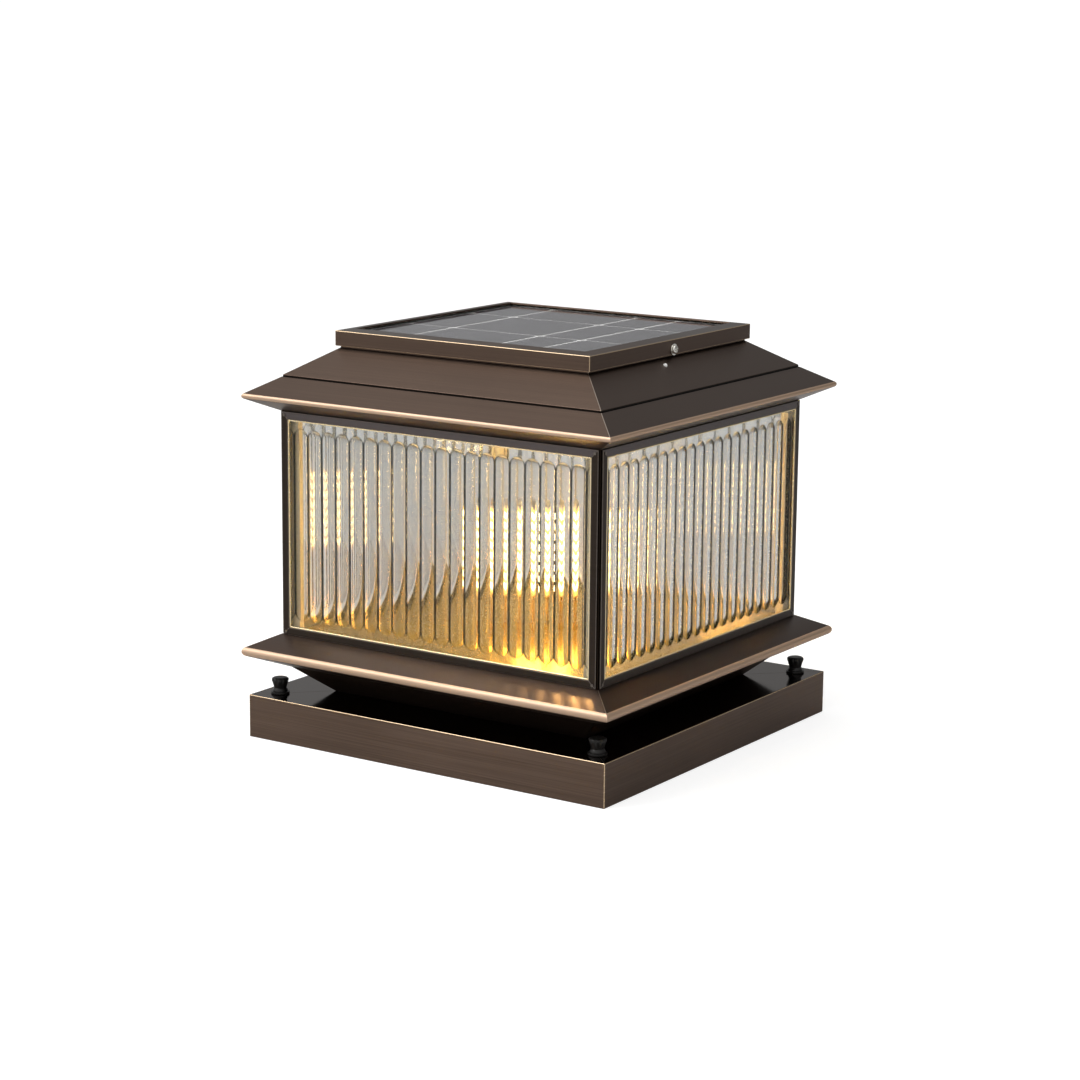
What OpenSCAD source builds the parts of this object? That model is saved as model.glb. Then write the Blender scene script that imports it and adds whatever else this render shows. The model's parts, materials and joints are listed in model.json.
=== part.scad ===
// Square solar pillar lantern: a base box over a pillar plate, a glazed light chamber
// between two mitred hip rings, and a solar cap that lifts off.
// Millimetres, +Z up, origin at the centre of the base's underside.
// The front face looks along -Y and the right face along +X.

/* [Sheet metal] */
// Thickness of the folded sheet of the rings, the base box and the cap
sheet_t = 1.2; // [0.8:0.1:1.6]
// Gap round a rivet or screw shank in its hole
hole_gap = 0.1; // [0.05:0.05:0.3]
// Gap between two pieces that move past each other
slide_gap = 0.3; // [0.2:0.05:0.5]

/* [Pillar plate] */
// Thickness of the steel plate that is bolted down on the pillar
plate_t = 2.5; // [1.5:0.5:5]
// Gap between the plate's edge and the inside of the base box
plate_gap = 1.3; // [0.5:0.1:4]
// Hole to hole distance of the four anchor bolts
anchor_span = 180; // [120:5:220]
// Diameter of the anchor bolt holes
anchor_d = 10; // [6:0.5:14]
// Diameter of the threaded studs
stud_d = 6; // [5:0.5:7]
// Distance from the base's edge to a stud's axis
stud_inset = 15.5; // [12:0.5:18]
// Wall of the spacer tube round each stud
spacer_wall = 2.4; // [1:0.2:4]

/* [Base box] */
// Width of the square base box
base_w = 296; // [290:1:330]
// Height of the base box
base_h = 30.5; // [22:0.5:45]
// Width and depth of the mitre line on the base's top
mitre_line = 0.3; // [0.2:0.05:0.5]

/* [Thumb nuts] */
// Diameter of the captive washer under a thumb nut
washer_d = 13; // [12:0.5:15]
// Thickness of the captive washer
washer_t = 1.5; // [1:0.1:2.5]
// Diameter of the nut's foot
nut_foot_d = 10.5; // [9.5:0.1:11.5]
// Diameter of the nut's waist
nut_waist_d = 8.8; // [8.2:0.1:9.4]
// Diameter of the nut's grip
nut_head_d = 12; // [10:0.5:14]
// Height of the nut without its washer
nut_h = 10; // [9.5:0.1:12]
// Number of grooves round the grip
grip_count = 10; // [6:1:14]
// Radius of a grip groove
grip_r = 1.1; // [0.6:0.1:1.4]
// Length of stud inside the nut
thread_len = 7; // [5:0.1:7]
// Radial gap of a thread, which is left smooth
thread_gap = 0.06; // [0.02:0.01:0.1]

/* [Neck and tray] */
// Distance from the base's edge in to the neck's foot
neck_foot_inset = 43; // [38:1:60]
// Distance from the base's edge in to the neck's top, where the tray starts
neck_inset = 21; // [20:0.5:24]
// Height of the neck
neck_h = 18.8; // [14:0.2:26]
// Width of the tray over its rounded rim
tray_w = 303.4; // [296:0.2:316]
// Radius of the tray's rim
tray_rim_r = 3.5; // [2:0.1:4.5]
// Height of the rim's centre above the neck
tray_rim_z = 12.2; // [10:0.2:14]
// Height of the tray
tray_h = 24; // [21:0.2:28]
// Width of the flange that a ring turns inward
flange_w = 17; // [16:0.1:18]
// Diameter of the rivets and machine screws of the shell
rivet_d = 3.2; // [2.5:0.1:4]
// Distance of the rivets from the middle of a side
rivet_span = 55; // [40:1:80]

/* [Light chamber] */
// Width of the chamber over its pane frames
body_w = 264; // [260:1:268]
// Height of the chamber between tray and eave
body_h = 157.9; // [130:0.1:190]
// Thickness of a glass pane
pane_t = 4; // [3:0.1:4.4]
// Distance from one flute of the glass to the next
flute_pitch = 12; // [9:0.5:16]
// Depth of a flute
flute_depth = 1.6; // [1:0.1:2.4]
// Width of the flat land left between two flutes
flute_land = 0.3; // [0.2:0.1:1.5]
// Plain glass between the frame's opening and a flute's end
flute_margin = 6; // [4:0.5:14]
// Width of a pane frame's bars
frame_bar_w = 5.2; // [4:0.1:7]
// Width of the dark groove beside a frame, at the chamber's corner
corner_groove = 2.4; // [1.5:0.1:3]
// Section of the bright glazing bead
bead_w = 1; // [0.6:0.1:1.6]
// Thickness of the seal under and over a pane
seal_t = 1.6; // [1:0.1:2.5]
// Clearance round a pane
pane_gap = 0.2; // [0.1:0.05:0.4]
// Thickness of a corner post's legs
post_leg_t = 1.6; // [1.2:0.1:2.4]
// Reach of a corner post's legs behind the panes
post_leg_w = 8.5; // [7:0.1:10]
// Thickness of the floor and ceiling plates
liner_t = 1; // [0.6:0.1:1.6]

/* [Roof] */
// Width of the eave over its rounded rim
eave_w = 300.4; // [292:0.2:312]
// Radius of the eave's rim
eave_rim_r = 2.1; // [1.6:0.1:3]
// Height of the eave rim's centre above the chamber
eave_rim_z = 10.6; // [9:0.2:12]
// Height of the eave ring up to its seam
eave_h = 23.6; // [21:0.2:28]
// Width of the roof at the seam between eave and hip
seam_w = 260.8; // [256:0.2:266]
// Width of the dark seam
seam_gap = 0.6; // [0.3:0.1:1.2]
// Height of the hip above the seam
hip_h = 19.5; // [14:0.1:26]
// Width of the collar at the top of the hip
collar_w = 203; // [196:1:206]
// Height of the collar
collar_h = 6.6; // [6:0.1:7.2]
// Diameter of the charge indicator's lens
indicator_d = 3; // [2:0.5:5]
// How far the indicator stands forward of the roof's middle
indicator_forward = 16.4; // [10:0.1:40]
// How far the indicator lies below the top of the hip
indicator_drop = 4.2; // [4:0.1:10]

/* [Solar cap] */
// Height of the cap's straight side
cap_side_h = 10.5; // [10:0.1:13]
// Gap between the hip and the cap's lower edge
cap_gap = 1.2; // [0.6:0.1:2]
// Clearance between collar and cap
cap_fit = 1.5; // [0.8:0.1:2.5]
// Width of the cap's top lip
lip_w = 10.4; // [8:0.1:14]
// Rise of the lip from its outer to its inner edge
lip_rise = 1.2; // [0.8:0.1:1.6]
// Gap between the panel's edge and the inside of the cap
panel_gap = 3.5; // [3:0.1:4.5]
// Thickness of the clear cover over the cells
cover_t = 1; // [0.6:0.1:1.4]
// Thickness of the solar cells
cell_t = 0.4; // [0.2:0.05:0.6]
// Thickness of the board behind the cells
board_t = 2; // [1.6:0.1:2.4]
// Gap between two solar cells
cell_gap = 1.2; // [0.6:0.1:2]
// Diameter of the cap's side screws
cap_screw_d = 3; // [2.5:0.1:3.2]
// Diameter of the washer under a side screw's head
cap_washer_d = 8; // [7:0.1:8.2]
// Width of the square nuts on the side screws
cap_nut_w = 5; // [4.6:0.1:5.2]

/* [Lamp and power] */
// Height of the lamp's foot
foot_h = 23.6; // [16:0.2:34]
// Diameter of the foot's flange
foot_d = 46; // [42:1:60]
// Width of the square lamp column
column_w = 26; // [22:1:32]
// Height of the lamp column
column_h = 64; // [60:1:80]
// Height of the light diodes' rows, one above the other
row_pitch = 7.4; // [6:0.1:8]
// Distance of the columns of diodes on one side
column_pitch = 8; // [6:0.1:8.4]
// Thickness of the diodes' circuit boards
led_board_t = 1.6; // [1:0.1:2]
// Width of a square light diode
diode_w = 5; // [3:0.1:5.4]
// Diameter of a battery cell
cell_d = 32; // [26:1:32]
// Length of a battery cell
cell_len = 70; // [65:1:75]
// Height of the control module
control_h = 18; // [14:0.5:20]
// Diameter of the inner leads
lead_d = 2.4; // [1.6:0.1:3]

/* [Hidden] */
$fn = 48;
// Steps along a rounded rim and along a bend of a lead
rim_steps = 8;
bend_steps = 4;
lead_sides = 8;
// Reach of the wedges that cut a mitre
mitre_reach = 0.75 * base_w;
over = 1;

// Heights of the joints between the pieces
base_top = base_h;
neck_top = base_top + neck_h;
tray_top = neck_top + tray_h;
body_top = tray_top + body_h;
seam_z = body_top + eave_h;
hip_top = seam_z + hip_h;
collar_top = hip_top + collar_h;
cap_bottom = hip_top + cap_gap;
cap_edge = cap_bottom + cap_side_h;
lip_top = cap_edge + lip_rise;

// Half widths
base_half = base_w / 2;
stud_half = base_half - stud_inset;
plate_half = base_half - sheet_t - plate_gap;
neck_foot_half = base_half - neck_foot_inset;
neck_half = base_half - neck_inset;
tray_half = tray_w / 2;
body_half = body_w / 2;
eave_half = eave_w / 2;
seam_half = seam_w / 2;
collar_half = collar_w / 2;
cap_half = collar_half + cap_fit + sheet_t;
flange_half = body_half - flange_w;

// Lap of a pane behind its frame, and places of the posts' screws
pane_lap = 0.8;
post_screw_in = 2.6;
post_screw_reach = 8;

// Section of the chamber's wall, from outside to inside
frame_back = body_half - sheet_t;
pane_outer = frame_back - pane_gap;
pane_inner = pane_outer - pane_t;
leg_front = pane_inner - pane_gap;
leg_back = leg_front - post_leg_t;
frame_half = body_half - corner_groove;
opening_half = frame_half - frame_bar_w;
pane_half = opening_half + pane_lap;
post_core = pane_half + pane_gap;
leg_end = leg_front - post_leg_w;
post_screw_half = leg_back - post_screw_in;
post_boss_r = 3.6;
pane_low = tray_top + seal_t;
pane_high = body_top - seal_t;
frame_low = tray_top + pane_gap;
frame_high = body_top - pane_gap;
opening_low = frame_low + frame_bar_w;
opening_high = frame_high - frame_bar_w;
floor_top = tray_top + liner_t;
ceiling_low = body_top + sheet_t;
ceiling_top = ceiling_low + liner_t;
rivet_inset = 2.4;
diode_h = 0.8;
frame_rivet_d = 1;
frame_rivet_len = 4;
frame_rivet_head = 0.4;
bead_depth = 1.1;

// The lead to the lamp runs down one corner, inside the post
wire_half = flange_half - 2.8;
wire_hole_d = lead_d + 1.6;
under_floor_z = tray_top - 2;

// Flutes: the radius follows from a flute's width and depth
flute_w = flute_pitch - flute_land;
flute_r = (flute_w * flute_w / 4 + flute_depth * flute_depth) / (2 * flute_depth);
flute_half_count = ceil(pane_half / flute_pitch);
flute_low = opening_low + flute_margin + flute_w / 2;
flute_high = opening_high - flute_margin - flute_w / 2;

// Thumb nuts
stud_top = base_top + slide_gap / 2 + washer_t + slide_gap / 2 + thread_len;
washer_z = base_top + slide_gap / 2;
nut_z = washer_z + washer_t + slide_gap / 2;
nut_bore_depth = thread_len + 0.4;

// Hip roof: its slope and the seat on the eave's shelf
hip_foot_half = seam_half - seam_gap;
shelf_z = seam_z - 2.2;
shelf_half = hip_foot_half - 10;
hip_edge_z = seam_z + 0.4;
hip_slope = atan2(hip_top - hip_edge_z, hip_foot_half - collar_half);
indicator_z = hip_top - indicator_drop;
indicator_half = collar_half + indicator_drop / tan(hip_slope);
indicator_flange_d = indicator_d + 2.2;
roof_screw_half = hip_foot_half - 5;
rivet_head_h = 1.2;

// Solar cap: the layers of the panel, from the top
panel_half = cap_half - sheet_t - panel_gap;
cover_top = cap_edge + lip_rise * (cap_half - panel_half) / lip_w - sheet_t - 0.25;
cells_top = cover_top - cover_t;
board_top = cells_top - cell_t;
board_low = board_top - board_t;
cap_screw_axis = board_low - cap_nut_w / 2 - 0.05;
cap_washer_t = 0.6;
cap_head_d = cap_washer_d - 2;
cap_head_h = 1.7;
cap_nut_t = 1.8;
cap_nut_front = collar_half - sheet_t - 0.1;
cap_screw_tip = cap_nut_front - cap_nut_t - 1.6;
cap_washer_x = cap_half + slide_gap / 2;
cap_head_x = cap_washer_x + cap_washer_t + slide_gap / 2;
slot_low = cap_screw_axis - cap_screw_d / 2 - 0.5;

// Power parts on the ceiling plate
pack_x = -45;
pack_y = 22;
cradle_floor = 2;
cradle_h = 13;
cradle_wall = 3;
cell_axis_z = ceiling_top + cradle_floor + cell_d / 2;
cell_spread = cell_d / 2 + 1;
cradle_len = cell_len + 2 * cradle_wall + 1;
cradle_w = 2 * cell_d + 2 * cradle_wall + 2.6;
strap_w = 14;
strap_t = 1.4;
control_x = 48;
control_y = -22;
control_size = [66, 46];
plug_size = [12, 8];
plug_depth = 6;
plug_h = 11;
plug_gap = 0.5;
box_size = [56, 38];
box_h = 9;

// Direction of travel, unit vectors and arcs
function unit(v) = v / norm(v);
function left_of(v) = [-v[1], v[0]];
function reversed(list) = [for (i = [len(list) - 1:-1:0]) list[i]];
function arc(centre, r, from, to, steps) =
    [for (i = [0:steps]) let (a = from + (to - from) * i / steps) centre + r * [cos(a), sin(a)]];

// Angle at which a line from a point touches a circle; side is 1 or -1
function touch_angle(point, centre, r, side) =
    let (d = point - centre) atan2(d[1], d[0]) + side * acos(r / norm(d));

// A rounded rim between two points, bulging outward
function rim(low, high, centre, r) =
    concat([low], arc(centre, r, touch_angle(low, centre, r, 1),
        touch_angle(high, centre, r, -1), rim_steps), [high]);

// A line moved to its left by t, with mitred corners
function moved_left(line, t) =
    [for (i = [0:len(line) - 1])
        let (last = len(line) - 1,
             before = left_of(unit(line[max(i, 1)] - line[max(i, 1) - 1])),
             after = left_of(unit(line[min(i, last - 1) + 1] - line[min(i, last - 1)])))
        line[i] + t * (before + after) / (1 + before * after)];

// The outline of a sheet whose outer surface is the line
function sheet(line, t) = concat(line, reversed(moved_left(line, t)));

// Points of a route with its corners rounded
function bend(a, b, c, r) =
    let (u = unit(a - b), w = unit(c - b), half = acos(u * w) / 2, turn = 180 - 2 * half,
         centre = b + unit(u + w) * r / sin(half),
         first = b + u * r / tan(half) - centre, second = b + w * r / tan(half) - centre)
    [for (i = [0:bend_steps]) let (a1 = turn * i / bend_steps)
        centre + (first * sin(turn - a1) + second * sin(a1)) / sin(turn)];
function route(points, r) =
    concat([points[0]],
        [for (i = [1:len(points) - 2]) each bend(points[i - 1], points[i], points[i + 1], r)],
        [points[len(points) - 1]]);

// Directions and side vectors along a route
function directions(path) =
    [for (i = [0:len(path) - 1]) unit(path[min(i + 1, len(path) - 1)] - path[max(i - 1, 0)])];
function side_vectors(ways, i, last) =
    i == len(ways) ? [] :
    let (side = unit(last - (last * ways[i]) * ways[i])) concat([side], side_vectors(ways, i + 1, side));

// A round lead along a route
module lead(points, bend_r) {
    path = route(points, bend_r);
    ways = directions(path);
    first = abs(ways[0][2]) > 0.9 ? [1, 0, 0] : [0, 0, 1];
    across = side_vectors(ways, 0, first);
    rings = [for (i = [0:len(path) - 1], k = [0:lead_sides - 1]) let (a = 360 * k / lead_sides)
        path[i] + lead_d / 2 * (cos(a) * across[i] + sin(a) * cross(ways[i], across[i]))];
    count = len(path);
    walls = [for (i = [0:count - 2], k = [0:lead_sides - 1]) let (n = (k + 1) % lead_sides)
        each [[i * lead_sides + k, (i + 1) * lead_sides + k, (i + 1) * lead_sides + n],
              [i * lead_sides + k, (i + 1) * lead_sides + n, i * lead_sides + n]]];
    start = [for (k = [0:lead_sides - 1]) k];
    end = [for (k = [lead_sides - 1:-1:0]) (count - 1) * lead_sides + k];
    polyhedron(points = rings, faces = concat(walls, [start, end]));
}

// A ring with mitred corners: the outline stands on its side, distance from the axis and height
module square_ring(outline) {
    for (turn = [0:90:270])
        rotate([0, 0, turn])
            intersection() {
                rotate([90, 0, 0])
                    linear_extrude(height = 2 * mitre_reach, center = true) polygon(outline);
                linear_extrude(height = 2 * mitre_reach)
                    polygon([[0, 0], [mitre_reach, -mitre_reach], [mitre_reach, mitre_reach]]);
            }
}

// A square plate between two heights
module slab(half, low, high) {
    translate([-half, -half, low]) cube([2 * half, 2 * half, high - low]);
}

module at_corners(half) {
    for (x = [-half, half], y = [-half, half]) translate([x, y, 0]) children();
}

// Turns what is built at the back right corner to another one
module at_corner(index) {
    rotate([0, 0, 180 + 90 * index]) children();
}

// Turns what is built on the front face to another one: front, right, back, left
module on_face(index) {
    rotate([0, 0, 90 * index]) children();
}

// Two places on each side of a ring
module along_sides(half) {
    for (turn = [0:90:270], x = [-rivet_span, rivet_span])
        rotate([0, 0, turn]) translate([x, -half, 0]) children();
}

// A hole through a sheet, for a rivet or a screw
module shank_hole(d, low, high) {
    translate([0, 0, low - over]) cylinder(d = d + 2 * hole_gap, h = high - low + 2 * over);
}

// A rivet through a stack of sheets, with a flat head on each side
module rivet(low, high) {
    translate([0, 0, low]) cylinder(d = rivet_d, h = high - low);
    translate([0, 0, low - rivet_head_h]) cylinder(d = 2 * rivet_d, h = rivet_head_h);
    translate([0, 0, high]) cylinder(d = 2 * rivet_d, h = rivet_head_h);
}

// A pan head screw that points up, its head under the sheet at height low
module screw_up(low, tip) {
    difference() {
        union() {
            translate([0, 0, low]) cylinder(d = rivet_d, h = tip - low);
            translate([0, 0, low - 2]) cylinder(d = 2 * rivet_d, h = 2);
        }
        translate([-0.5, -2, low - 3]) cube([1, 4, 2]);
        translate([-2, -0.5, low - 3]) cube([4, 1, 2]);
    }
}

// A screw that points down, its head on the sheet at height top
module screw_down(top, tip) {
    mirror([0, 0, 1]) screw_up(-top, -tip);
}

// The places of the lamp foot's screws, clear of the lead that comes in from a corner
module foot_screw_places() {
    for (turn = [0:90:270]) rotate([0, 0, turn]) translate([foot_d / 2 - 1.4 * rivet_d, 0, 0]) children();
}

module mounting_plate() {
    color("slategray")
        difference() {
            slab(plate_half, 0, plate_t);
            at_corners(anchor_span / 2) translate([0, 0, -over]) cylinder(d = anchor_d, h = plate_t + 2 * over);
        }
}

module mounting_studs() {
    color("silver") at_corners(stud_half) translate([0, 0, plate_t]) cylinder(d = stud_d, h = stud_top - plate_t);
}

module stud_spacers() {
    hole_d = stud_d + 0.6;
    color("darkgray")
        at_corners(stud_half)
            translate([0, 0, plate_t])
                difference() {
                    cylinder(d = hole_d + 2 * spacer_wall, h = base_top - sheet_t - plate_t);
                    translate([0, 0, -over]) cylinder(d = hole_d, h = base_h);
                }
}

module base_box() {
    line_len = (base_half - neck_foot_half) * sqrt(2) + 2 * over;
    color([0.30, 0.22, 0.18])
        difference() {
            slab(base_half, 0, base_top);
            slab(base_half - sheet_t, -over, base_top - sheet_t);
            at_corners(stud_half) shank_hole(stud_d + 0.6, base_top - sheet_t, base_top);
            along_sides(neck_foot_half - flange_w / 2) shank_hole(rivet_d, base_top - sheet_t, base_top);
            for (turn = [45:90:315])
                rotate([0, 0, turn])
                    translate([neck_foot_half * sqrt(2), -mitre_line / 2, base_top - mitre_line])
                        cube([line_len, mitre_line, 2 * mitre_line]);
        }
}

// The captive washer of a thumb nut, drawn at the back right stud
module nut_washer() {
    translate([stud_half, stud_half, washer_z])
        difference() {
            cylinder(d = washer_d, h = washer_t);
            translate([0, 0, -over]) cylinder(d = stud_d + 2 * thread_gap, h = washer_t + 2 * over);
        }
}

module nut_washer_front_left() { color([0.10, 0.09, 0.08]) at_corner(0) nut_washer(); }
module nut_washer_front_right() { color([0.10, 0.09, 0.08]) at_corner(1) nut_washer(); }
module nut_washer_back_right() { color([0.10, 0.09, 0.08]) at_corner(2) nut_washer(); }
module nut_washer_back_left() { color([0.10, 0.09, 0.08]) at_corner(3) nut_washer(); }

// A thumb nut: foot, waist and a flared grip with grooves, closed at the top
module thumb_nut() {
    foot_r = nut_foot_d / 2;
    waist_r = nut_waist_d / 2;
    head_r = nut_head_d / 2;
    side = [[0, 0], [foot_r, 0], [foot_r, 1], [waist_r, 2.4], [head_r - 0.5, nut_h - 3.5],
        [head_r, nut_h - 1.5], [head_r - 1, nut_h - 0.4], [head_r - 2.4, nut_h], [0, nut_h]];
    translate([stud_half, stud_half, nut_z])
        difference() {
            rotate_extrude() polygon(side);
            translate([0, 0, -over]) cylinder(d = stud_d + 2 * thread_gap, h = nut_bore_depth + over);
            for (k = [0:grip_count - 1])
                rotate([0, 0, 360 * k / grip_count])
                    translate([head_r + grip_r * 0.35, 0, 3]) cylinder(r = grip_r, h = nut_h);
        }
}

module thumb_nut_front_left() { color([0.06, 0.06, 0.06]) at_corner(0) thumb_nut(); }
module thumb_nut_front_right() { color([0.06, 0.06, 0.06]) at_corner(1) thumb_nut(); }
module thumb_nut_back_right() { color([0.06, 0.06, 0.06]) at_corner(2) thumb_nut(); }
module thumb_nut_back_left() { color([0.06, 0.06, 0.06]) at_corner(3) thumb_nut(); }

module neck() {
    line = [[neck_foot_half - flange_w, base_top], [neck_foot_half, base_top],
        [neck_half, neck_top], [neck_half - flange_w, neck_top]];
    color([0.26, 0.20, 0.16])
        difference() {
            square_ring(sheet(line, sheet_t));
            along_sides(neck_foot_half - flange_w / 2) shank_hole(rivet_d, base_top, base_top + sheet_t);
            along_sides(neck_half - flange_w / 2) shank_hole(rivet_d, neck_top - sheet_t, neck_top);
        }
}

// Rivets from base to neck and from neck to tray
module shell_rivets() {
    color("gray") {
        along_sides(neck_foot_half - flange_w / 2) rivet(base_top - sheet_t, base_top + sheet_t);
        along_sides(neck_half - flange_w / 2) rivet(neck_top - sheet_t, neck_top + sheet_t);
    }
}

module tray_ring() {
    kink = [neck_half, neck_top];
    seat = [body_half, tray_top];
    centre = [tray_half - tray_rim_r, neck_top + tray_rim_z];
    line = concat([[neck_half - flange_w, neck_top]], rim(kink, seat, centre, tray_rim_r),
        [[flange_half, tray_top]]);
    color([0.33, 0.25, 0.20])
        difference() {
            square_ring(sheet(line, sheet_t));
            along_sides(neck_half - flange_w / 2) shank_hole(rivet_d, neck_top, neck_top + sheet_t);
            at_corners(post_screw_half) shank_hole(rivet_d, tray_top - sheet_t, tray_top);
        }
}

module floor_plate() {
    color([0.85, 0.62, 0.22])
        difference() {
            slab(leg_front, tray_top, floor_top);
            for (turn = [0:90:270])
                rotate([0, 0, turn])
                    translate([leg_end - pane_gap, leg_end - pane_gap, tray_top - over])
                        cube([mitre_reach, mitre_reach, liner_t + 2 * over]);
            translate([wire_half, -wire_half, 0]) shank_hole(wire_hole_d, tray_top, floor_top);
            shank_hole(wire_hole_d, tray_top, floor_top);
            foot_screw_places() shank_hole(rivet_d, tray_top, floor_top);
        }
}

// A corner post, drawn at the back right: a core between two panes, legs behind them, a screw boss
module corner_post() {
    difference() {
        translate([0, 0, tray_top])
            linear_extrude(height = body_h)
                difference() {
                    union() {
                        translate([post_core, post_core]) square(pane_outer - post_core);
                        translate([leg_end, leg_back]) square([post_leg_w, post_leg_t]);
                        translate([leg_back, leg_end]) square([post_leg_t, post_leg_w]);
                        translate([post_screw_half, post_screw_half]) circle(r = post_boss_r);
                    }
                    translate([post_screw_half, post_screw_half]) circle(d = rivet_d + 2 * hole_gap);
                }
        for (z = [frame_low + rivet_inset, frame_high - rivet_inset]) {
            translate([frame_half - rivet_inset, body_half + over, z])
                rotate([90, 0, 0]) cylinder(d = frame_rivet_d + 2 * hole_gap, h = frame_rivet_len + over);
            translate([body_half + over, frame_half - rivet_inset, z])
                rotate([0, -90, 0]) cylinder(d = frame_rivet_d + 2 * hole_gap, h = frame_rivet_len + over);
        }
    }
}

module corner_post_front_left() { color([0.14, 0.10, 0.08]) at_corner(0) corner_post(); }
module corner_post_front_right() { color([0.14, 0.10, 0.08]) at_corner(1) corner_post(); }
module corner_post_back_right() { color([0.14, 0.10, 0.08]) at_corner(2) corner_post(); }
module corner_post_back_left() { color([0.14, 0.10, 0.08]) at_corner(3) corner_post(); }

// One screw into each end of each post
module post_screws() {
    color("gray")
        at_corners(post_screw_half) {
            screw_up(tray_top - sheet_t, tray_top + post_screw_reach);
            screw_down(body_top + sheet_t, body_top - post_screw_reach);
        }
}

// A pane of cast glass, flat inside, with upright scooped flutes outside
module pane() {
    difference() {
        translate([-pane_half, -pane_outer, pane_low]) cube([2 * pane_half, pane_t, pane_high - pane_low]);
        for (k = [-flute_half_count:flute_half_count - 1])
            translate([(k + 0.5) * flute_pitch, -pane_outer + flute_depth - flute_r, 0]) {
                translate([0, 0, flute_low]) cylinder(r = flute_r, h = flute_high - flute_low);
                translate([0, 0, flute_low]) sphere(r = flute_r);
                translate([0, 0, flute_high]) sphere(r = flute_r);
            }
    }
}

module pane_front() { color([0.95, 0.88, 0.66]) on_face(0) pane(); }
module pane_right() { color([0.95, 0.88, 0.66]) on_face(1) pane(); }
module pane_back() { color([0.95, 0.88, 0.66]) on_face(2) pane(); }
module pane_left() { color([0.95, 0.88, 0.66]) on_face(3) pane(); }

// Rubber strips under and over each pane
module pane_seals() {
    color([0.12, 0.12, 0.12])
        for (face = [0:3], z = [tray_top, body_top - seal_t])
            on_face(face)
                translate([-pane_half, -pane_outer, z]) cube([2 * pane_half, pane_t, seal_t]);
}

// A bar along X with mitred ends, its outer edge at y = 0, its face towards +Z
module frame_bar(length, width, depth, bevel) {
    section = [[0, 0], [0, depth], [width - bevel, depth], [width, depth - bevel], [width, 0]];
    intersection() {
        translate([-length / 2, 0, 0])
            rotate([90, 0, 90]) linear_extrude(height = length) polygon(section);
        linear_extrude(height = depth)
            polygon([[-length / 2, 0], [length / 2, 0], [length / 2 - width, width],
                [width - length / 2, width]]);
    }
}

// A rectangular frame of four bars on the front face, its front surface at the given distance
module upright_frame(half, low, high, width, depth, front, bevel) {
    tall = high - low;
    translate([0, -front + depth, (low + high) / 2])
        rotate([90, 0, 0]) {
            translate([0, -tall / 2, 0]) frame_bar(2 * half, width, depth, bevel);
            rotate([0, 0, 180]) translate([0, -tall / 2, 0]) frame_bar(2 * half, width, depth, bevel);
            rotate([0, 0, 90]) translate([0, -half, 0]) frame_bar(tall, width, depth, bevel);
            rotate([0, 0, -90]) translate([0, -half, 0]) frame_bar(tall, width, depth, bevel);
        }
}

// The four rivet places of a pane frame, pointing outward from the front face
module frame_rivet_places() {
    for (x = [-1, 1], z = [frame_low + rivet_inset, frame_high - rivet_inset])
        translate([x * (frame_half - rivet_inset), -body_half, z]) rotate([90, 0, 0]) children();
}

module pane_frame() {
    difference() {
        upright_frame(frame_half, frame_low, frame_high, frame_bar_w, sheet_t, body_half, sheet_t / 2);
        frame_rivet_places()
            translate([0, 0, -2 * sheet_t]) cylinder(d = frame_rivet_d + 2 * hole_gap, h = 4 * sheet_t);
    }
}

module pane_frame_front() { color([0.36, 0.27, 0.21]) on_face(0) pane_frame(); }
module pane_frame_right() { color([0.36, 0.27, 0.21]) on_face(1) pane_frame(); }
module pane_frame_back() { color([0.36, 0.27, 0.21]) on_face(2) pane_frame(); }
module pane_frame_left() { color([0.36, 0.27, 0.21]) on_face(3) pane_frame(); }

// Bright beads inside the frames' openings, against the glass
module glazing_beads() {
    color([0.93, 0.78, 0.42])
        for (face = [0:3])
            on_face(face)
                upright_frame(opening_half - hole_gap, opening_low + hole_gap, opening_high - hole_gap,
                    bead_w, bead_depth, pane_outer + hole_gap + bead_depth, bead_w / 5);
}

// Small rivets from the frames into the posts
module frame_rivets() {
    color("goldenrod")
        for (face = [0:3])
            on_face(face)
                frame_rivet_places() {
                    cylinder(d = 2 * frame_rivet_d, h = frame_rivet_head);
                    translate([0, 0, 0.2 - frame_rivet_len]) cylinder(d = frame_rivet_d, h = frame_rivet_len);
                }
}

module eave_ring() {
    soffit = [body_half - 1, body_top];
    seam = [seam_half, seam_z];
    centre = [eave_half - eave_rim_r, body_top + eave_rim_z];
    line = concat([[flange_half, body_top]], rim(soffit, seam, centre, eave_rim_r),
        [[seam_half, shelf_z], [shelf_half, shelf_z]]);
    color([0.31, 0.24, 0.20])
        difference() {
            square_ring(sheet(line, sheet_t));
            at_corners(post_screw_half) shank_hole(rivet_d, body_top, body_top + sheet_t);
            along_sides(roof_screw_half) shank_hole(rivet_d, shelf_z - sheet_t, shelf_z);
            along_sides(flange_half + flange_w / 2) shank_hole(rivet_d, body_top, body_top + sheet_t);
        }
}

// The ceiling lies on the eave's lower flange and carries the battery and the control module
module ceiling_plate() {
    notch = post_screw_half - rivet_d - 1;
    color([0.90, 0.87, 0.80])
        difference() {
            slab(flange_half + flange_w - 5, ceiling_low, ceiling_top);
            for (turn = [0:90:270])
                rotate([0, 0, turn])
                    translate([notch, notch, ceiling_low - over])
                        cube([mitre_reach, mitre_reach, liner_t + 2 * over]);
            translate([wire_half, -wire_half, 0]) shank_hole(wire_hole_d, ceiling_low, ceiling_top);
            along_sides(flange_half + flange_w / 2) shank_hole(rivet_d, ceiling_low, ceiling_top);
        }
}

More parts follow.
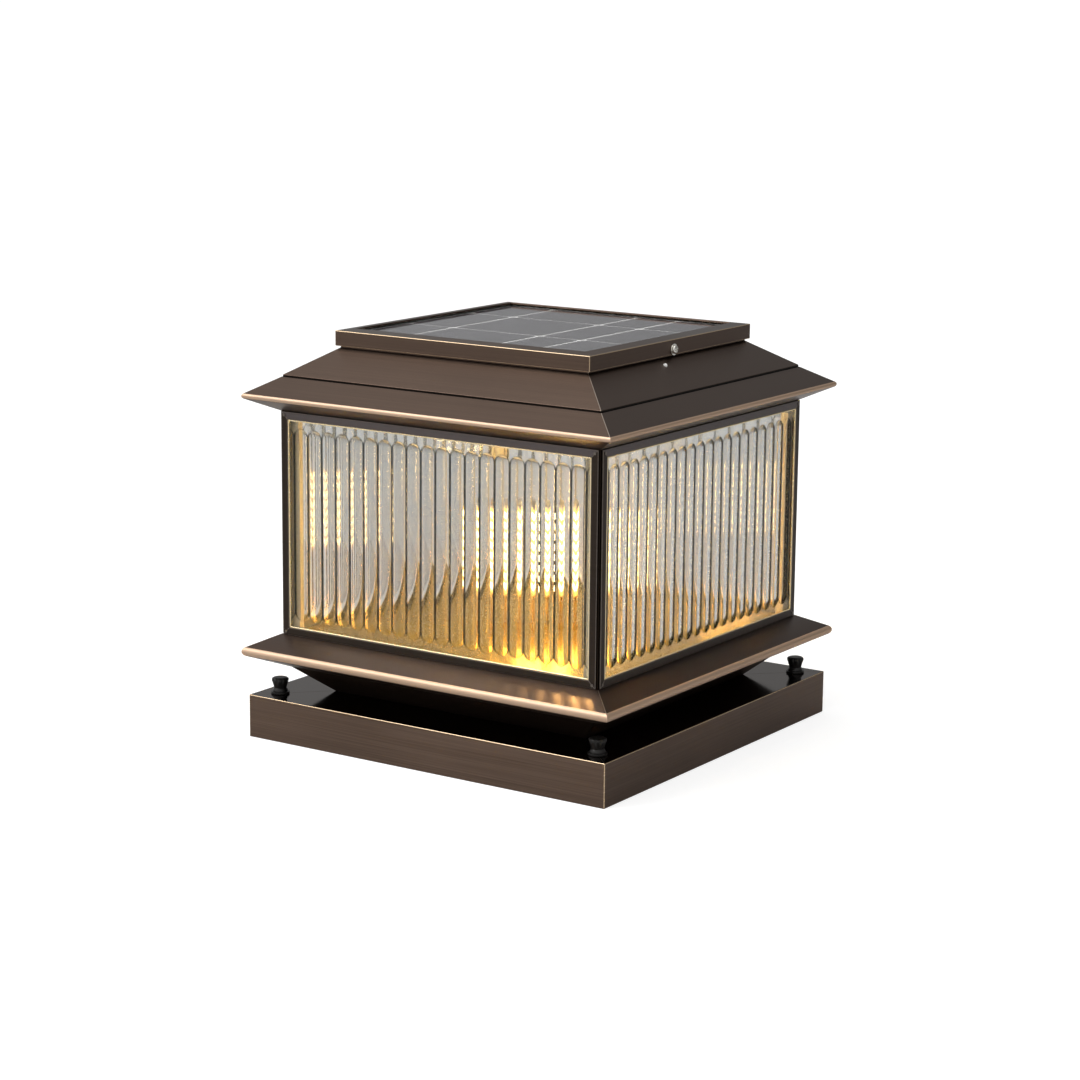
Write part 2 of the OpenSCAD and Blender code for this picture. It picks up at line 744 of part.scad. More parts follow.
module hip_roof() {
    line = [[shelf_half, shelf_z], [hip_foot_half, shelf_z], [hip_foot_half, hip_edge_z],
        [collar_half, hip_top], [collar_half, collar_top], [collar_half - 9.5, collar_top]];
    nut_room = cap_nut_w / 2 + 1.5;
    color([0.31, 0.24, 0.20])
        difference() {
            square_ring(sheet(line, sheet_t));
            along_sides(roof_screw_half) shank_hole(rivet_d, shelf_z, shelf_z + sheet_t);
            at_indicator()
                translate([0, 0, -2 * sheet_t]) cylinder(d = indicator_d + 2 * hole_gap, h = 4 * sheet_t);
            for (turn = [0, 180])
                rotate([0, 0, turn]) {
                    translate([collar_half - 2 * sheet_t, -cap_screw_d / 2 - 0.6, slot_low])
                        cube([3 * sheet_t, cap_screw_d + 1.2, collar_h]);
                    translate([cap_screw_tip - 1.4, -nut_room, cap_screw_axis - nut_room])
                        cube([cap_nut_front - cap_screw_tip + 1.5, 2 * nut_room, collar_h + 2 * nut_room]);
                }
        }
}

// On the right slope of the hip, square to it
module at_indicator() {
    translate([indicator_half, -indicator_forward, indicator_z]) rotate([0, hip_slope, 0]) children();
}

// Screws from the eave's shelf into the hip, and from the ceiling into the eave's flange
module roof_screws() {
    color("gray") {
        along_sides(roof_screw_half) screw_up(shelf_z - sheet_t, shelf_z + sheet_t + 1.4);
        along_sides(flange_half + flange_w / 2) screw_down(ceiling_top, body_top - 0.2);
    }
}

// A spool shaped foot with a bore for the lead
module lamp_foot() {
    top_r = column_w * 0.78;
    waist_r = foot_d * 0.3;
    side = [[wire_hole_d / 2, 0], [foot_d / 2, 0], [foot_d / 2, 3], [waist_r, 4.5], [waist_r, foot_h - 5],
        [top_r, foot_h - 3], [top_r, foot_h], [wire_hole_d / 2, foot_h]];
    color([0.80, 0.66, 0.36])
        difference() {
            translate([0, 0, floor_top]) rotate_extrude() polygon(side);
            foot_screw_places() shank_hole(rivet_d, floor_top, floor_top + 4);
        }
}

module foot_screws() {
    color("gray") foot_screw_places() screw_up(tray_top, floor_top + 4);
}

// The square tube that carries the diode boards, with a closed top
module led_column() {
    half = column_w / 2;
    low = floor_top + foot_h;
    color([0.86, 0.84, 0.78])
        difference() {
            union() {
                slab(half, low, low + column_h);
                slab(half + led_board_t, low + column_h - 2, low + column_h);
            }
            slab(half - 3, low - over, low + column_h - 4);
        }
}

module led_boards() {
    half = column_w / 2;
    low = floor_top + foot_h + 0.5;
    color([0.93, 0.93, 0.88])
        for (face = [0:3])
            on_face(face)
                translate([0.2 - half, -half - led_board_t, low])
                    cube([column_w - 0.4, led_board_t, column_h - 3]);
}

// Eight rows of three diodes on each board
module led_chips() {
    mid = floor_top + foot_h + (column_h - 2) / 2;
    color([1.0, 0.90, 0.55])
        for (face = [0:3], row = [0:7], place = [-1:1])
            on_face(face)
                translate([place * column_pitch - diode_w / 2, -column_w / 2 - led_board_t - diode_h,
                    mid + (row - 3.5) * row_pitch - diode_w / 2])
                    cube([diode_w, diode_h, diode_w]);
}

// A tray with a trough for each cell
module battery_cradle() {
    color([0.16, 0.16, 0.17])
        translate([pack_x, pack_y, ceiling_top])
            difference() {
                translate([-cradle_len / 2, -cradle_w / 2, 0]) cube([cradle_len, cradle_w, cradle_h]);
                for (side = [-1, 1])
                    translate([-cell_len / 2 - 0.5, side * cell_spread, cell_axis_z - ceiling_top])
                        rotate([0, 90, 0]) cylinder(d = cell_d + 0.4, h = cell_len + 1);
            }
}

module battery_cells() {
    color([0.20, 0.42, 0.62])
        for (side = [-1, 1])
            translate([pack_x - cell_len / 2, pack_y + side * cell_spread, cell_axis_z])
                rotate([0, 90, 0]) {
                    cylinder(d = cell_d - 0.2, h = cell_len - 2);
                    cylinder(d = cell_d / 3, h = cell_len);
                }
}

// A metal strap over both cells, its feet on the ceiling plate
module battery_strap() {
    inner = cradle_w / 2 + 0.2;
    top = cell_axis_z + cell_d / 2 - ceiling_top;
    foot = 8;
    side = [[inner + foot, 0], [inner + foot, strap_t], [inner + strap_t, strap_t], [inner + strap_t, top + strap_t],
        [-inner - strap_t, top + strap_t], [-inner - strap_t, strap_t], [-inner - foot, strap_t],
        [-inner - foot, 0], [-inner, 0], [-inner, top], [inner, top], [inner, 0]];
    color([0.70, 0.71, 0.72])
        translate([pack_x - strap_w / 2, pack_y, ceiling_top])
            rotate([90, 0, 90]) linear_extrude(height = strap_w) polygon(side);
}

// The potted charge controller, with a socket in its top for the panel's plug
module control_module() {
    color([0.20, 0.22, 0.24])
        translate([control_x, control_y, ceiling_top])
            difference() {
                union() {
                    translate([-control_size[0] / 2, -control_size[1] / 2, 0])
                        cube([control_size[0], control_size[1], control_h]);
                    translate([-control_size[0] / 2 - 7, -control_size[1] / 2 + 6, 0])
                        cube([control_size[0] + 14, control_size[1] - 12, 2]);
                }
                translate([-plug_size[0] / 2 - plug_gap, -plug_size[1] / 2 - plug_gap,
                    control_h - plug_depth - plug_gap])
                    cube([plug_size[0] + 2 * plug_gap, plug_size[1] + 2 * plug_gap, plug_depth + 2]);
            }
}

module indicator_lens() {
    color([0.96, 0.96, 0.92])
        at_indicator() {
            translate([0, 0, -sheet_t - 1]) cylinder(d = indicator_flange_d, h = 1);
            translate([0, 0, -sheet_t - 1]) cylinder(d = indicator_d, h = sheet_t + 1.3);
            intersection() {
                translate([0, 0, 0.3]) sphere(d = indicator_d);
                translate([-indicator_d, -indicator_d, 0]) cube(2 * indicator_d);
            }
        }
}

// Leads that the lantern holds all the way: to the lamp, from the battery, to the indicator
module inner_leads() {
    side_x = control_x + control_size[0] / 2;
    side_y = control_y - control_size[1] / 2;
    low = ceiling_top + 6;
    pack_end = pack_x + cradle_len / 2;
    outward = [sin(hip_slope), 0, cos(hip_slope)];
    back = [indicator_half, -indicator_forward, indicator_z] - (sheet_t + 1) * outward;
    color([0.05, 0.05, 0.05]) {
        lead([[control_x, side_y, low], [control_x, side_y - 15, low], [wire_half, -wire_half + 12, low],
            [wire_half, -wire_half, low - 1], [wire_half, -wire_half, under_floor_z],
            [0, 0, under_floor_z], [0, 0, floor_top + foot_h + 12]], 3);
        lead([[pack_end, pack_y, low], [pack_end + 16, pack_y, low], [pack_end + 16, control_y, low],
            [control_x - control_size[0] / 2, control_y, low]], 4);
        lead([back, back - 9 * outward, [side_x + 8, -indicator_forward, low + 4],
            [side_x, -indicator_forward, low + 4]], 3);
    }
}

module solar_frame() {
    line = [[cap_half, cap_bottom], [cap_half, cap_edge], [cap_half - lip_w, lip_top]];
    color([0.34, 0.25, 0.20])
        difference() {
            square_ring(sheet(line, sheet_t));
            for (turn = [0, 180])
                rotate([0, 0, turn])
                    translate([cap_half - 2 * sheet_t, 0, cap_screw_axis])
                        rotate([0, 90, 0]) cylinder(d = cap_screw_d + 2 * hole_gap, h = 4 * sheet_t);
        }
}

module solar_board() {
    color([0.92, 0.92, 0.90]) slab(panel_half, board_low, board_top);
}

// Cells between the light lines: two lines across and three along
module solar_cells() {
    edge = cap_half - lip_w - 1;
    xs = [-edge, -55, 18, 52, edge];
    ys = [-edge, -34, 40, edge];
    color([0.22, 0.21, 0.26])
        for (i = [0:len(xs) - 2], j = [0:len(ys) - 2])
            translate([xs[i] + cell_gap / 2, ys[j] + cell_gap / 2, board_top])
                cube([xs[i + 1] - xs[i] - cell_gap, ys[j + 1] - ys[j] - cell_gap, cell_t]);
}

module solar_cover() {
    color([0.40, 0.40, 0.46]) slab(panel_half, cells_top, cover_top);
}

// The seal between the collar and the panel's board
module solar_gasket() {
    color([0.08, 0.08, 0.08])
        difference() {
            slab(collar_half - 2.5, collar_top + slide_gap / 2, board_low);
            slab(collar_half - 8, collar_top - over, board_low + over);
            for (turn = [0, 180])
                rotate([0, 0, turn])
                    translate([cap_screw_tip - 1, -cap_nut_w / 2 - 1, collar_top - over])
                        cube([mitre_reach, cap_nut_w + 2, 4]);
        }
}

module junction_box() {
    color([0.10, 0.10, 0.11])
        translate([control_x - box_size[0] / 2, control_y - box_size[1] / 2, board_low - box_h])
            cube([box_size[0], box_size[1], box_h]);
}

// The panel's short lead, straight down to the plug in the control module's socket
module solar_lead() {
    plug_low = ceiling_top + control_h - plug_depth;
    color([0.12, 0.12, 0.13])
        translate([control_x, control_y, 0]) {
            translate([-plug_size[0] / 2, -plug_size[1] / 2, plug_low])
                cube([plug_size[0], plug_size[1], plug_h]);
            translate([0, 0, plug_low + plug_h])
                cylinder(d = 2 * lead_d, h = board_low - box_h - plug_low - plug_h);
        }
}

// Square nuts against the board's underside, on the cap's side screws
module cap_nuts() {
    color("silver")
        for (turn = [0, 180])
            rotate([0, 0, turn])
                translate([cap_nut_front - cap_nut_t, 0, cap_screw_axis])
                    difference() {
                        translate([0, -cap_nut_w / 2, -cap_nut_w / 2]) cube([cap_nut_t, cap_nut_w, cap_nut_w]);
                        translate([-over, 0, 0])
                            rotate([0, 90, 0]) cylinder(d = cap_screw_d + 2 * thread_gap, h = cap_nut_t + 2 * over);
                    }
}

module screw_washer() {
    translate([cap_washer_x, 0, cap_screw_axis])
        rotate([0, 90, 0])
            difference() {
                cylinder(d = cap_washer_d, h = cap_washer_t);
                translate([0, 0, -over])
                    cylinder(d = cap_screw_d + 2 * thread_gap, h = cap_washer_t + 2 * over);
            }
}

module screw_washer_right() { color([0.83, 0.81, 0.76]) screw_washer(); }
module screw_washer_left() { color([0.83, 0.81, 0.76]) rotate([0, 0, 180]) screw_washer(); }

// A pan head screw with a cross recess
module cap_screw() {
    translate([0, 0, cap_screw_axis])
        difference() {
            rotate([0, 90, 0]) {
                translate([0, 0, cap_screw_tip]) cylinder(d = cap_screw_d, h = cap_head_x - cap_screw_tip);
                translate([0, 0, cap_head_x]) cylinder(d = cap_head_d, h = cap_head_h);
            }
            translate([cap_head_x + cap_head_h - 0.9, -0.4, -1.8]) cube([2, 0.8, 3.6]);
            translate([cap_head_x + cap_head_h - 0.9, -1.8, -0.4]) cube([2, 3.6, 0.8]);
        }
}

module cap_screw_right() { color([0.88, 0.86, 0.80]) cap_screw(); }
module cap_screw_left() { color([0.88, 0.86, 0.80]) rotate([0, 0, 180]) cap_screw(); }

mounting_plate();
mounting_studs();
stud_spacers();
base_box();
nut_washer_front_left();
nut_washer_front_right();
nut_washer_back_right();
nut_washer_back_left();
thumb_nut_front_left();
thumb_nut_front_right();
thumb_nut_back_right();
thumb_nut_back_left();
neck();
shell_rivets();
tray_ring();
floor_plate();
corner_post_front_left();
corner_post_front_right();
corner_post_back_right();
corner_post_back_left();
post_screws();
pane_front();
pane_right();
pane_back();
pane_left();
pane_seals();
pane_frame_front();
pane_frame_right();
pane_frame_back();
pane_frame_left();
glazing_beads();
frame_rivets();
eave_ring();
ceiling_plate();
hip_roof();
roof_screws();
lamp_foot();
foot_screws();
led_column();
led_boards();
led_chips();
battery_cradle();
battery_cells();
battery_strap();
control_module();
indicator_lens();
inner_leads();
solar_frame();
solar_board();
solar_cells();
solar_cover();
solar_gasket();
junction_box();
solar_lead();
cap_nuts();
screw_washer_right();
screw_washer_left();
cap_screw_right();
cap_screw_left();
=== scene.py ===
"""Looks of the pillar light.

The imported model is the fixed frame. The pieces that show are modelled again at the same
place and size, with rounded edges, mitred folds and real flutes, and every piece gets a finish.
"""

import json
import logging
import math
from dataclasses import dataclass
from enum import Enum
from typing import Callable, Sequence

import bmesh
import bpy
from bmesh.types import BMEdge, BMFace
from bpy.types import Material, MeshPolygon, Node, NodeTree, Object
from mathutils import Matrix, Vector

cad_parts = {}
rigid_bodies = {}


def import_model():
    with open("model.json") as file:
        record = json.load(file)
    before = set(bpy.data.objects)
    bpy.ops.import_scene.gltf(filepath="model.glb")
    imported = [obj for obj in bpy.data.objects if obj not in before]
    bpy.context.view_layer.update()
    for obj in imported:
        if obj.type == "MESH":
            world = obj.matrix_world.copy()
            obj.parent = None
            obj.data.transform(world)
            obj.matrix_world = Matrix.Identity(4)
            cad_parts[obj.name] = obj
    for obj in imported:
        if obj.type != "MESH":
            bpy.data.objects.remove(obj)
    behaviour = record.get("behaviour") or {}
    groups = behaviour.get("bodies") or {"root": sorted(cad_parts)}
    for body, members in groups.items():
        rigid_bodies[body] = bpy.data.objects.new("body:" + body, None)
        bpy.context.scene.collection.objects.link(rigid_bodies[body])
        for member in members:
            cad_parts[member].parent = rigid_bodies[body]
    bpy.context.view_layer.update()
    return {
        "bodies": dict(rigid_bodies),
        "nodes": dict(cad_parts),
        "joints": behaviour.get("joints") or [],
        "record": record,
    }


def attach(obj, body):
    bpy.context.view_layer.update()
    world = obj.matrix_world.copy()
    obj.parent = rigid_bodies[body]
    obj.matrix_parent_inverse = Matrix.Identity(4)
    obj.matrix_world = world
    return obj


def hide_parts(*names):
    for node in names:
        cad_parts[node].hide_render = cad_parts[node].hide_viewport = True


MM = 0.001
NEAR = 0.1
SPARE = 1.0
LEVEL = 0.9
PLAIN, EDGED, MARKED = 0, 1, 2
SHEET = 1.2
SCREW_AXIS = 279.14
STUD_HALF = 132.5
LOG = logging.getLogger("pillar_light")

Point = tuple[float, float]
Colour = tuple[float, float, float]
Feed = tuple[Node, str | int]


class Side(Enum):
    """The four faces of the lantern, in quarter turns from the front."""

    FRONT = 0
    RIGHT = 1
    BACK = 2
    LEFT = 3


class Corner(Enum):
    """The four corners, in quarter turns from the back right one."""

    BACK_RIGHT = 0
    BACK_LEFT = 1
    FRONT_LEFT = 2
    FRONT_RIGHT = 3


def turn_of(place: Side | Corner) -> float:
    """Angle of a face or corner about the upright axis, in radians."""
    return place.value * math.pi / 2


def word_of(place: Side | Corner) -> str:
    """The name of a face or corner in the CAD nodes."""
    return place.name.lower()


def unit(x: float, y: float) -> Point:
    """A direction of length one."""
    size = math.hypot(x, y)
    return x / size, y / size


def moved_left(line: Sequence[Point], distance: float) -> list[Point]:
    """Moves a line to the left of its travel, with mitred corners.

    Args:
        line: Points in millimetres.
        distance: How far the line moves, in millimetres.

    Returns:
        The moved points, in the same order.
    """
    last = len(line) - 1
    moved = []
    for i, (x, y) in enumerate(line):
        sides = []
        for a, b in ((max(i, 1) - 1, max(i, 1)), (min(i, last - 1), min(i, last - 1) + 1)):
            ux, uy = unit(line[b][0] - line[a][0], line[b][1] - line[a][1])
            sides.append((-uy, ux))
        (ax, ay), (bx, by) = sides
        share = distance / (1 + ax * bx + ay * by)
        moved.append((x + share * (ax + bx), y + share * (ay + by)))
    return moved


def folded(line: Sequence[Point]) -> list[Point]:
    """The closed outline of a metal sheet whose outer surface is the line."""
    return list(line) + moved_left(line, SHEET)[::-1] + [line[0]]


def rolled_rim(low: Point, high: Point, centre: Point, radius: float, steps: int = 12) -> list[Point]:
    """A line that bulges outward round a rim.

    Args:
        low: Point under the rim.
        high: Point over the rim.
        centre: Centre of the rim's round.
        radius: Radius of the round.
        steps: Steps along the round.

    Returns:
        The points from low to high.
    """
    def touch(point: Point, side: int) -> float:
        dx, dy = point[0] - centre[0], point[1] - centre[1]
        return math.atan2(dy, dx) + side * math.acos(radius / math.hypot(dx, dy))

    start, end = touch(low, 1), touch(high, -1)
    arc = []
    for i in range(steps + 1):
        angle = start + (end - start) * i / steps
        arc.append((centre[0] + radius * math.cos(angle), centre[1] + radius * math.sin(angle)))
    return [low] + arc + [high]


def clear() -> None:
    """Leaves edit mode and lets go of everything."""
    if bpy.context.mode != "OBJECT":
        bpy.ops.object.mode_set(mode="OBJECT")
    bpy.ops.object.select_all(action="DESELECT")


def take(*pieces: Object) -> None:
    """Picks up pieces; the first is the active one."""
    clear()
    for piece in pieces:
        piece.select_set(True)
    bpy.context.view_layer.objects.active = pieces[0]


def named(name: str) -> Object:
    """Names the primitive that was just added, and puts its place in its mesh."""
    piece = bpy.context.active_object
    piece.name = name
    piece.data.name = name
    bpy.ops.object.transform_apply(location=True, rotation=True, scale=True)
    return piece


def edit(piece: Object, kind: str) -> None:
    """Opens a piece in edit mode with all of it selected, to be picked by vertex, edge or face."""
    take(piece)
    bpy.ops.object.mode_set(mode="EDIT")
    bpy.ops.mesh.select_mode(type="VERT")
    bpy.ops.mesh.select_all(action="SELECT")
    bpy.ops.mesh.select_mode(type=kind)


def pick(piece: Object, kind: str, wanted: Callable[[BMEdge | BMFace], bool]) -> None:
    """Selects only the wanted edges or faces of a piece that is open in edit mode."""
    bpy.ops.mesh.select_mode(type=kind)
    bpy.ops.mesh.select_all(action="DESELECT")
    mesh = bmesh.from_edit_mesh(piece.data)
    for part in mesh.edges if kind == "EDGE" else mesh.faces:
        if wanted(part):
            part.select = True
    bmesh.update_edit_mesh(piece.data)


def close(piece: Object) -> Object:
    """Merges doubles, turns the faces outward and leaves edit mode."""
    bpy.ops.mesh.select_mode(type="VERT")
    bpy.ops.mesh.select_all(action="SELECT")
    bpy.ops.mesh.remove_doubles(threshold=0.002 * MM)
    bpy.ops.mesh.normals_make_consistent(inside=False)
    bpy.ops.object.mode_set(mode="OBJECT")
    return piece


def ring(name: str, outline: Sequence[Point], sides: int = 4, solid: bool = False) -> Object:
    """A ring about the upright axis, or a solid that is flat at both ends.

    Args:
        name: The piece's name.
        outline: Half widths and heights in millimetres, closed for a ring, from end to end for a solid.
        sides: 4 for a square piece with mitred corners, more for a round one.
        solid: Whether it is a solid.

    Returns:
        The closed piece.
    """
    stretch, angle = (math.sqrt(2), math.pi / 4) if sides == 4 else (1.0, 0.0)
    start, foot = outline[0]
    clear()
    bpy.ops.mesh.primitive_circle_add(
        vertices=sides, radius=start * stretch * MM, location=(0, 0, foot * MM), rotation=(0, 0, angle),
        fill_type="NGON" if solid else "NOTHING")
    piece = named(name)
    edit(piece, "EDGE")
    for (wide, low), (next_wide, high) in zip(outline, outline[1:]):
        bpy.ops.mesh.extrude_edges_move(TRANSFORM_OT_translate={"value": (0, 0, (high - low) * MM)})
        ratio = next_wide / wide
        bpy.ops.transform.resize(value=(ratio, ratio, 1), center_override=(0, 0, high * MM))
    if solid:
        bpy.ops.mesh.edge_face_add()
    return close(piece)


def block(name: str, low: Sequence[float], high: Sequence[float]) -> Object:
    """A block between two corners in millimetres, ready to be shaped."""
    clear()
    middle = [(a + b) / 2 * MM for a, b in zip(low, high)]
    lengths = [(b - a) * MM for a, b in zip(low, high)]
    bpy.ops.mesh.primitive_cube_add(size=1, location=middle, scale=lengths)
    return named(name)


def rod(radius: float, length: float, place: Sequence[float], sides: int = 32, tilt: float = 0) -> Object:
    """A round bar.

    Args:
        radius: Radius in millimetres.
        length: Length in millimetres.
        place: Its middle, in millimetres.
        sides: Sides round it.
        tilt: Turn from upright about Y, in radians.

    Returns:
        The closed bar.
    """
    clear()
    bpy.ops.mesh.primitive_cylinder_add(vertices=sides, radius=radius * MM, depth=length * MM,
                                        location=[value * MM for value in place], rotation=(0, tilt, 0))
    return named("rod")


def turn(piece: Object, angle: float, axis: str = "Z") -> Object:
    """Turns a piece's mesh about an axis through the middle."""
    piece.data.transform(Matrix.Rotation(angle, 4, axis))
    piece.data.update()
    return piece


def shift(piece: Object, x: float, y: float, z: float) -> Object:
    """Moves a piece's mesh by millimetres."""
    piece.data.transform(Matrix.Translation(Vector((x, y, z)) * MM))
    piece.data.update()
    return piece


def copy(piece: Object, name: str) -> Object:
    """A copy of a piece with its own mesh."""
    twin = piece.copy()
    twin.data = piece.data.copy()
    twin.name = name
    twin.data.name = name
    bpy.context.scene.collection.objects.link(twin)
    return twin


def join(name: str, pieces: Sequence[Object]) -> Object:
    """Makes several pieces one."""
    take(*pieces)
    if len(pieces) > 1:
        bpy.ops.object.join()
    pieces[0].name = name
    pieces[0].data.name = name
    return pieces[0]


def combine(piece: Object, other: Object, operation: str) -> Object:
    """Changes a piece by another closed shape, which is used up.

    Args:
        piece: The piece that stays.
        other: The shape that is used up.
        operation: Blender's word for how the shape acts.

    Returns:
        The changed piece.
    """
    take(piece)
    boolean = piece.modifiers.new("Shape", "BOOLEAN")
    boolean.operation = operation
    boolean.solver = "EXACT"
    boolean.object = other
    bpy.ops.object.modifier_apply(modifier=boolean.name)
    bpy.data.objects.remove(other)
    return piece


def cut(piece: Object, cutter: Object) -> Object:
    """Cuts the shape of a closed cutter out of a piece."""
    return combine(piece, cutter, "DIFFERENCE")


def weld(piece: Object, other: Object) -> Object:
    """Joins two closed shapes that meet into one closed shape."""
    return combine(piece, other, "UNION")


def soften(piece: Object, width: float = 0.3, segments: int = 2, angle: float = 32,
           edge_slot: int = -1) -> Object:
    """Rounds the sharp edges of a piece.

    Args:
        piece: The piece.
        width: Width of the round, in millimetres.
        segments: Steps across the round.
        angle: Least angle between faces that counts as sharp, in degrees.
        edge_slot: Material place of the rounded strips, or -1 to keep that of their neighbours.

    Returns:
        The same piece.
    """
    take(piece)
    bevel = piece.modifiers.new("Round", "BEVEL")
    bevel.width = width * MM
    bevel.segments = segments
    bevel.limit_method = "ANGLE"
    bevel.angle_limit = math.radians(angle)
    bevel.miter_outer = "MITER_SHARP"
    bevel.material = edge_slot
    bevel.use_clamp_overlap = True
    bpy.ops.object.modifier_apply(modifier=bevel.name)
    return piece


def reach(face: MeshPolygon) -> float:
    """The larger level distance of a face from the upright axis."""
    return max(abs(face.center.x), abs(face.center.y))


def mark(piece: Object, place: int, wanted: Callable[[MeshPolygon], bool]) -> None:
    """Gives the wanted faces the finish in one of the piece's material places."""
    for face in piece.data.polygons:
        if wanted(face):
            face.material_index = place


def smooth(piece: Object, angle: float = 38) -> Object:
    """Smooth shading up to an angle in degrees, with normals that follow the broad faces."""
    take(piece)
    bpy.ops.object.shade_smooth_by_angle(angle=math.radians(angle))
    even = piece.modifiers.new("Even normals", "WEIGHTED_NORMAL")
    even.keep_sharp = True
    even.weight = 60
    bpy.ops.object.modifier_apply(modifier=even.name)
    return piece


class Wiring:
    """Places and joins the nodes of one material, world or group."""

    def __init__(self, tree: NodeTree) -> None:
        """Starts on an empty tree."""
        self.tree = tree
        tree.nodes.clear()

    def add(self, kind: str, values: dict[str | int, object] | None = None, **settings: object) -> Node:
        """Adds a node.

        Args:
            kind: Blender's name of the node type.
            values: Input sockets and what they are set to, or the outputs that feed them.
            **settings: The node's own settings.

        Returns:
            The new node.
        """
        node = self.tree.nodes.new(kind)
        for key, value in settings.items():
            setattr(node, key, value)
        for key, value in (values or {}).items():
            self.feed(value, node, key)
        return node

    def feed(self, value: object, node: Node, entry: str | int) -> None:
        """Sets an input to a number, or joins it to a node's output."""
        if isinstance(value, tuple) and isinstance(value[0], Node):
            self.tree.links.new(value[0].outputs[value[1]], node.inputs[entry])
        else:
            node.inputs[entry].default_value = value

    def math(self, kind: str, *values: object) -> Feed:
        """One step of arithmetic on numbers or outputs."""
        return self.add("ShaderNodeMath", dict(enumerate(values)), operation=kind), 0

    def ramp(self, source: Feed, low: float, high: float, first: float, last: float) -> Feed:
        """Maps a value between two limits on to a range, smoothly."""
        values = {0: source, 1: low, 2: high, 3: first, 4: last}
        return self.add("ShaderNodeMapRange", values, interpolation_type="SMOOTHSTEP"), 0

    def span(self, source: Feed, low: float, high: float) -> Feed:
        """Maps a value from 0 to 1 on to a range."""
        return self.add("ShaderNodeMapRange", {"Value": source, "To Min": low, "To Max": high}), 0

    def blend(self, share: object, first: object, second: object) -> Feed:
        """A mix of two numbers or outputs."""
        return self.add("ShaderNodeMix", {0: share, 2: first, 3: second}, data_type="FLOAT"), 0

    def mix(self, share: Feed, first: object, second: object) -> Feed:
        """A colour mix, of plain colours or outputs, by a varying share."""
        colours = [colour if isinstance(colour[0], Node) else (*colour, 1) for colour in (first, second)]
        return self.add("ShaderNodeMix", {0: share, 6: colours[0], 7: colours[1]}, data_type="RGBA"), 2

    def place(self) -> Feed:
        """The object coordinates."""
        return self.add("ShaderNodeTexCoord"), "Object"

    def axes(self) -> Node:
        """The object coordinates, one by one."""
        return self.add("ShaderNodeSeparateXYZ", {0: self.place()})

    def level_sizes(self, axes: Node) -> tuple[Feed, Feed]:
        """The two level distances from the middle."""
        return self.math("ABSOLUTE", (axes, "X")), self.math("ABSOLUTE", (axes, "Y"))

    def along_face(self, axes: Node) -> Feed:
        """The level coordinate that runs along the face a point is on."""
        sideways = self.math("GREATER_THAN", *self.level_sizes(axes))
        return self.blend(sideways, (axes, "X"), (axes, "Y"))

    def off_middle(self, source: Feed, pitch: object) -> Feed:
        """How far a place is from the middle of the step that it falls in."""
        part = self.math("FRACT", self.math("DIVIDE", source, pitch))
        way = self.math("MULTIPLY", self.math("SUBTRACT", part, 0.5), pitch)
        return self.math("ABSOLUTE", way)

    def length(self, first: Feed, second: Feed) -> Feed:
        """The length of a way with two square parts."""
        squares = [self.math("MULTIPLY", part, part) for part in (first, second)]
        return self.math("SQRT", self.math("ADD", *squares))

    def cross(self, first: object, second: object) -> Feed:
        """A direction square to two others."""
        return self.add("ShaderNodeVectorMath", {0: first, 1: second}, operation="CROSS_PRODUCT"), 0

    def noise(self, source: Feed, size: object, detail: float, roughness: float = 0.5) -> Feed:
        """Soft noise over a place."""
        values = {"Vector": source, "Scale": size, "Detail": detail, "Roughness": roughness}
        return self.add("ShaderNodeTexNoise", values), "Fac"

    def bump(self, height: Feed, strength: float, distance: float) -> Feed:
        """A surface normal from a height."""
        values = {"Strength": strength, "Distance": distance, "Height": height}
        return self.add("ShaderNodeBump", values), "Normal"


@dataclass(frozen=True)
class Group:
    """A node group that several finishes share, built once."""

    name: str
    inputs: dict[str, float]
    outputs: tuple[str, ...]

    def place(self, wiring: Wiring, values: dict[str, float] | None = None) -> Node:
        """Adds the group to a material, and builds it the first time.

        Args:
            wiring: The material's nodes.
            values: Input names and values.

        Returns:
            The group's node.
        """
        tree = bpy.data.node_groups.get(self.name)
        if not tree:
            tree = bpy.data.node_groups.new(self.name, "ShaderNodeTree")
            for key, value in self.inputs.items():
                socket = tree.interface.new_socket(key, in_out="INPUT", socket_type="NodeSocketFloat")
                socket.default_value = value
            for key in self.outputs:
                tree.interface.new_socket(key, in_out="OUTPUT", socket_type="NodeSocketFloat")
            inner = Wiring(tree)
            feeds = self.fill(inner, inner.add("NodeGroupInput"))
            inner.add("NodeGroupOutput", dict(zip(self.outputs, feeds)))
        return wiring.add("ShaderNodeGroup", values, node_tree=tree)

    def fill(self, wiring: Wiring, entry: Node) -> Sequence[Feed]:
        """Wires the group and gives a feed for each output."""
        raise NotImplementedError


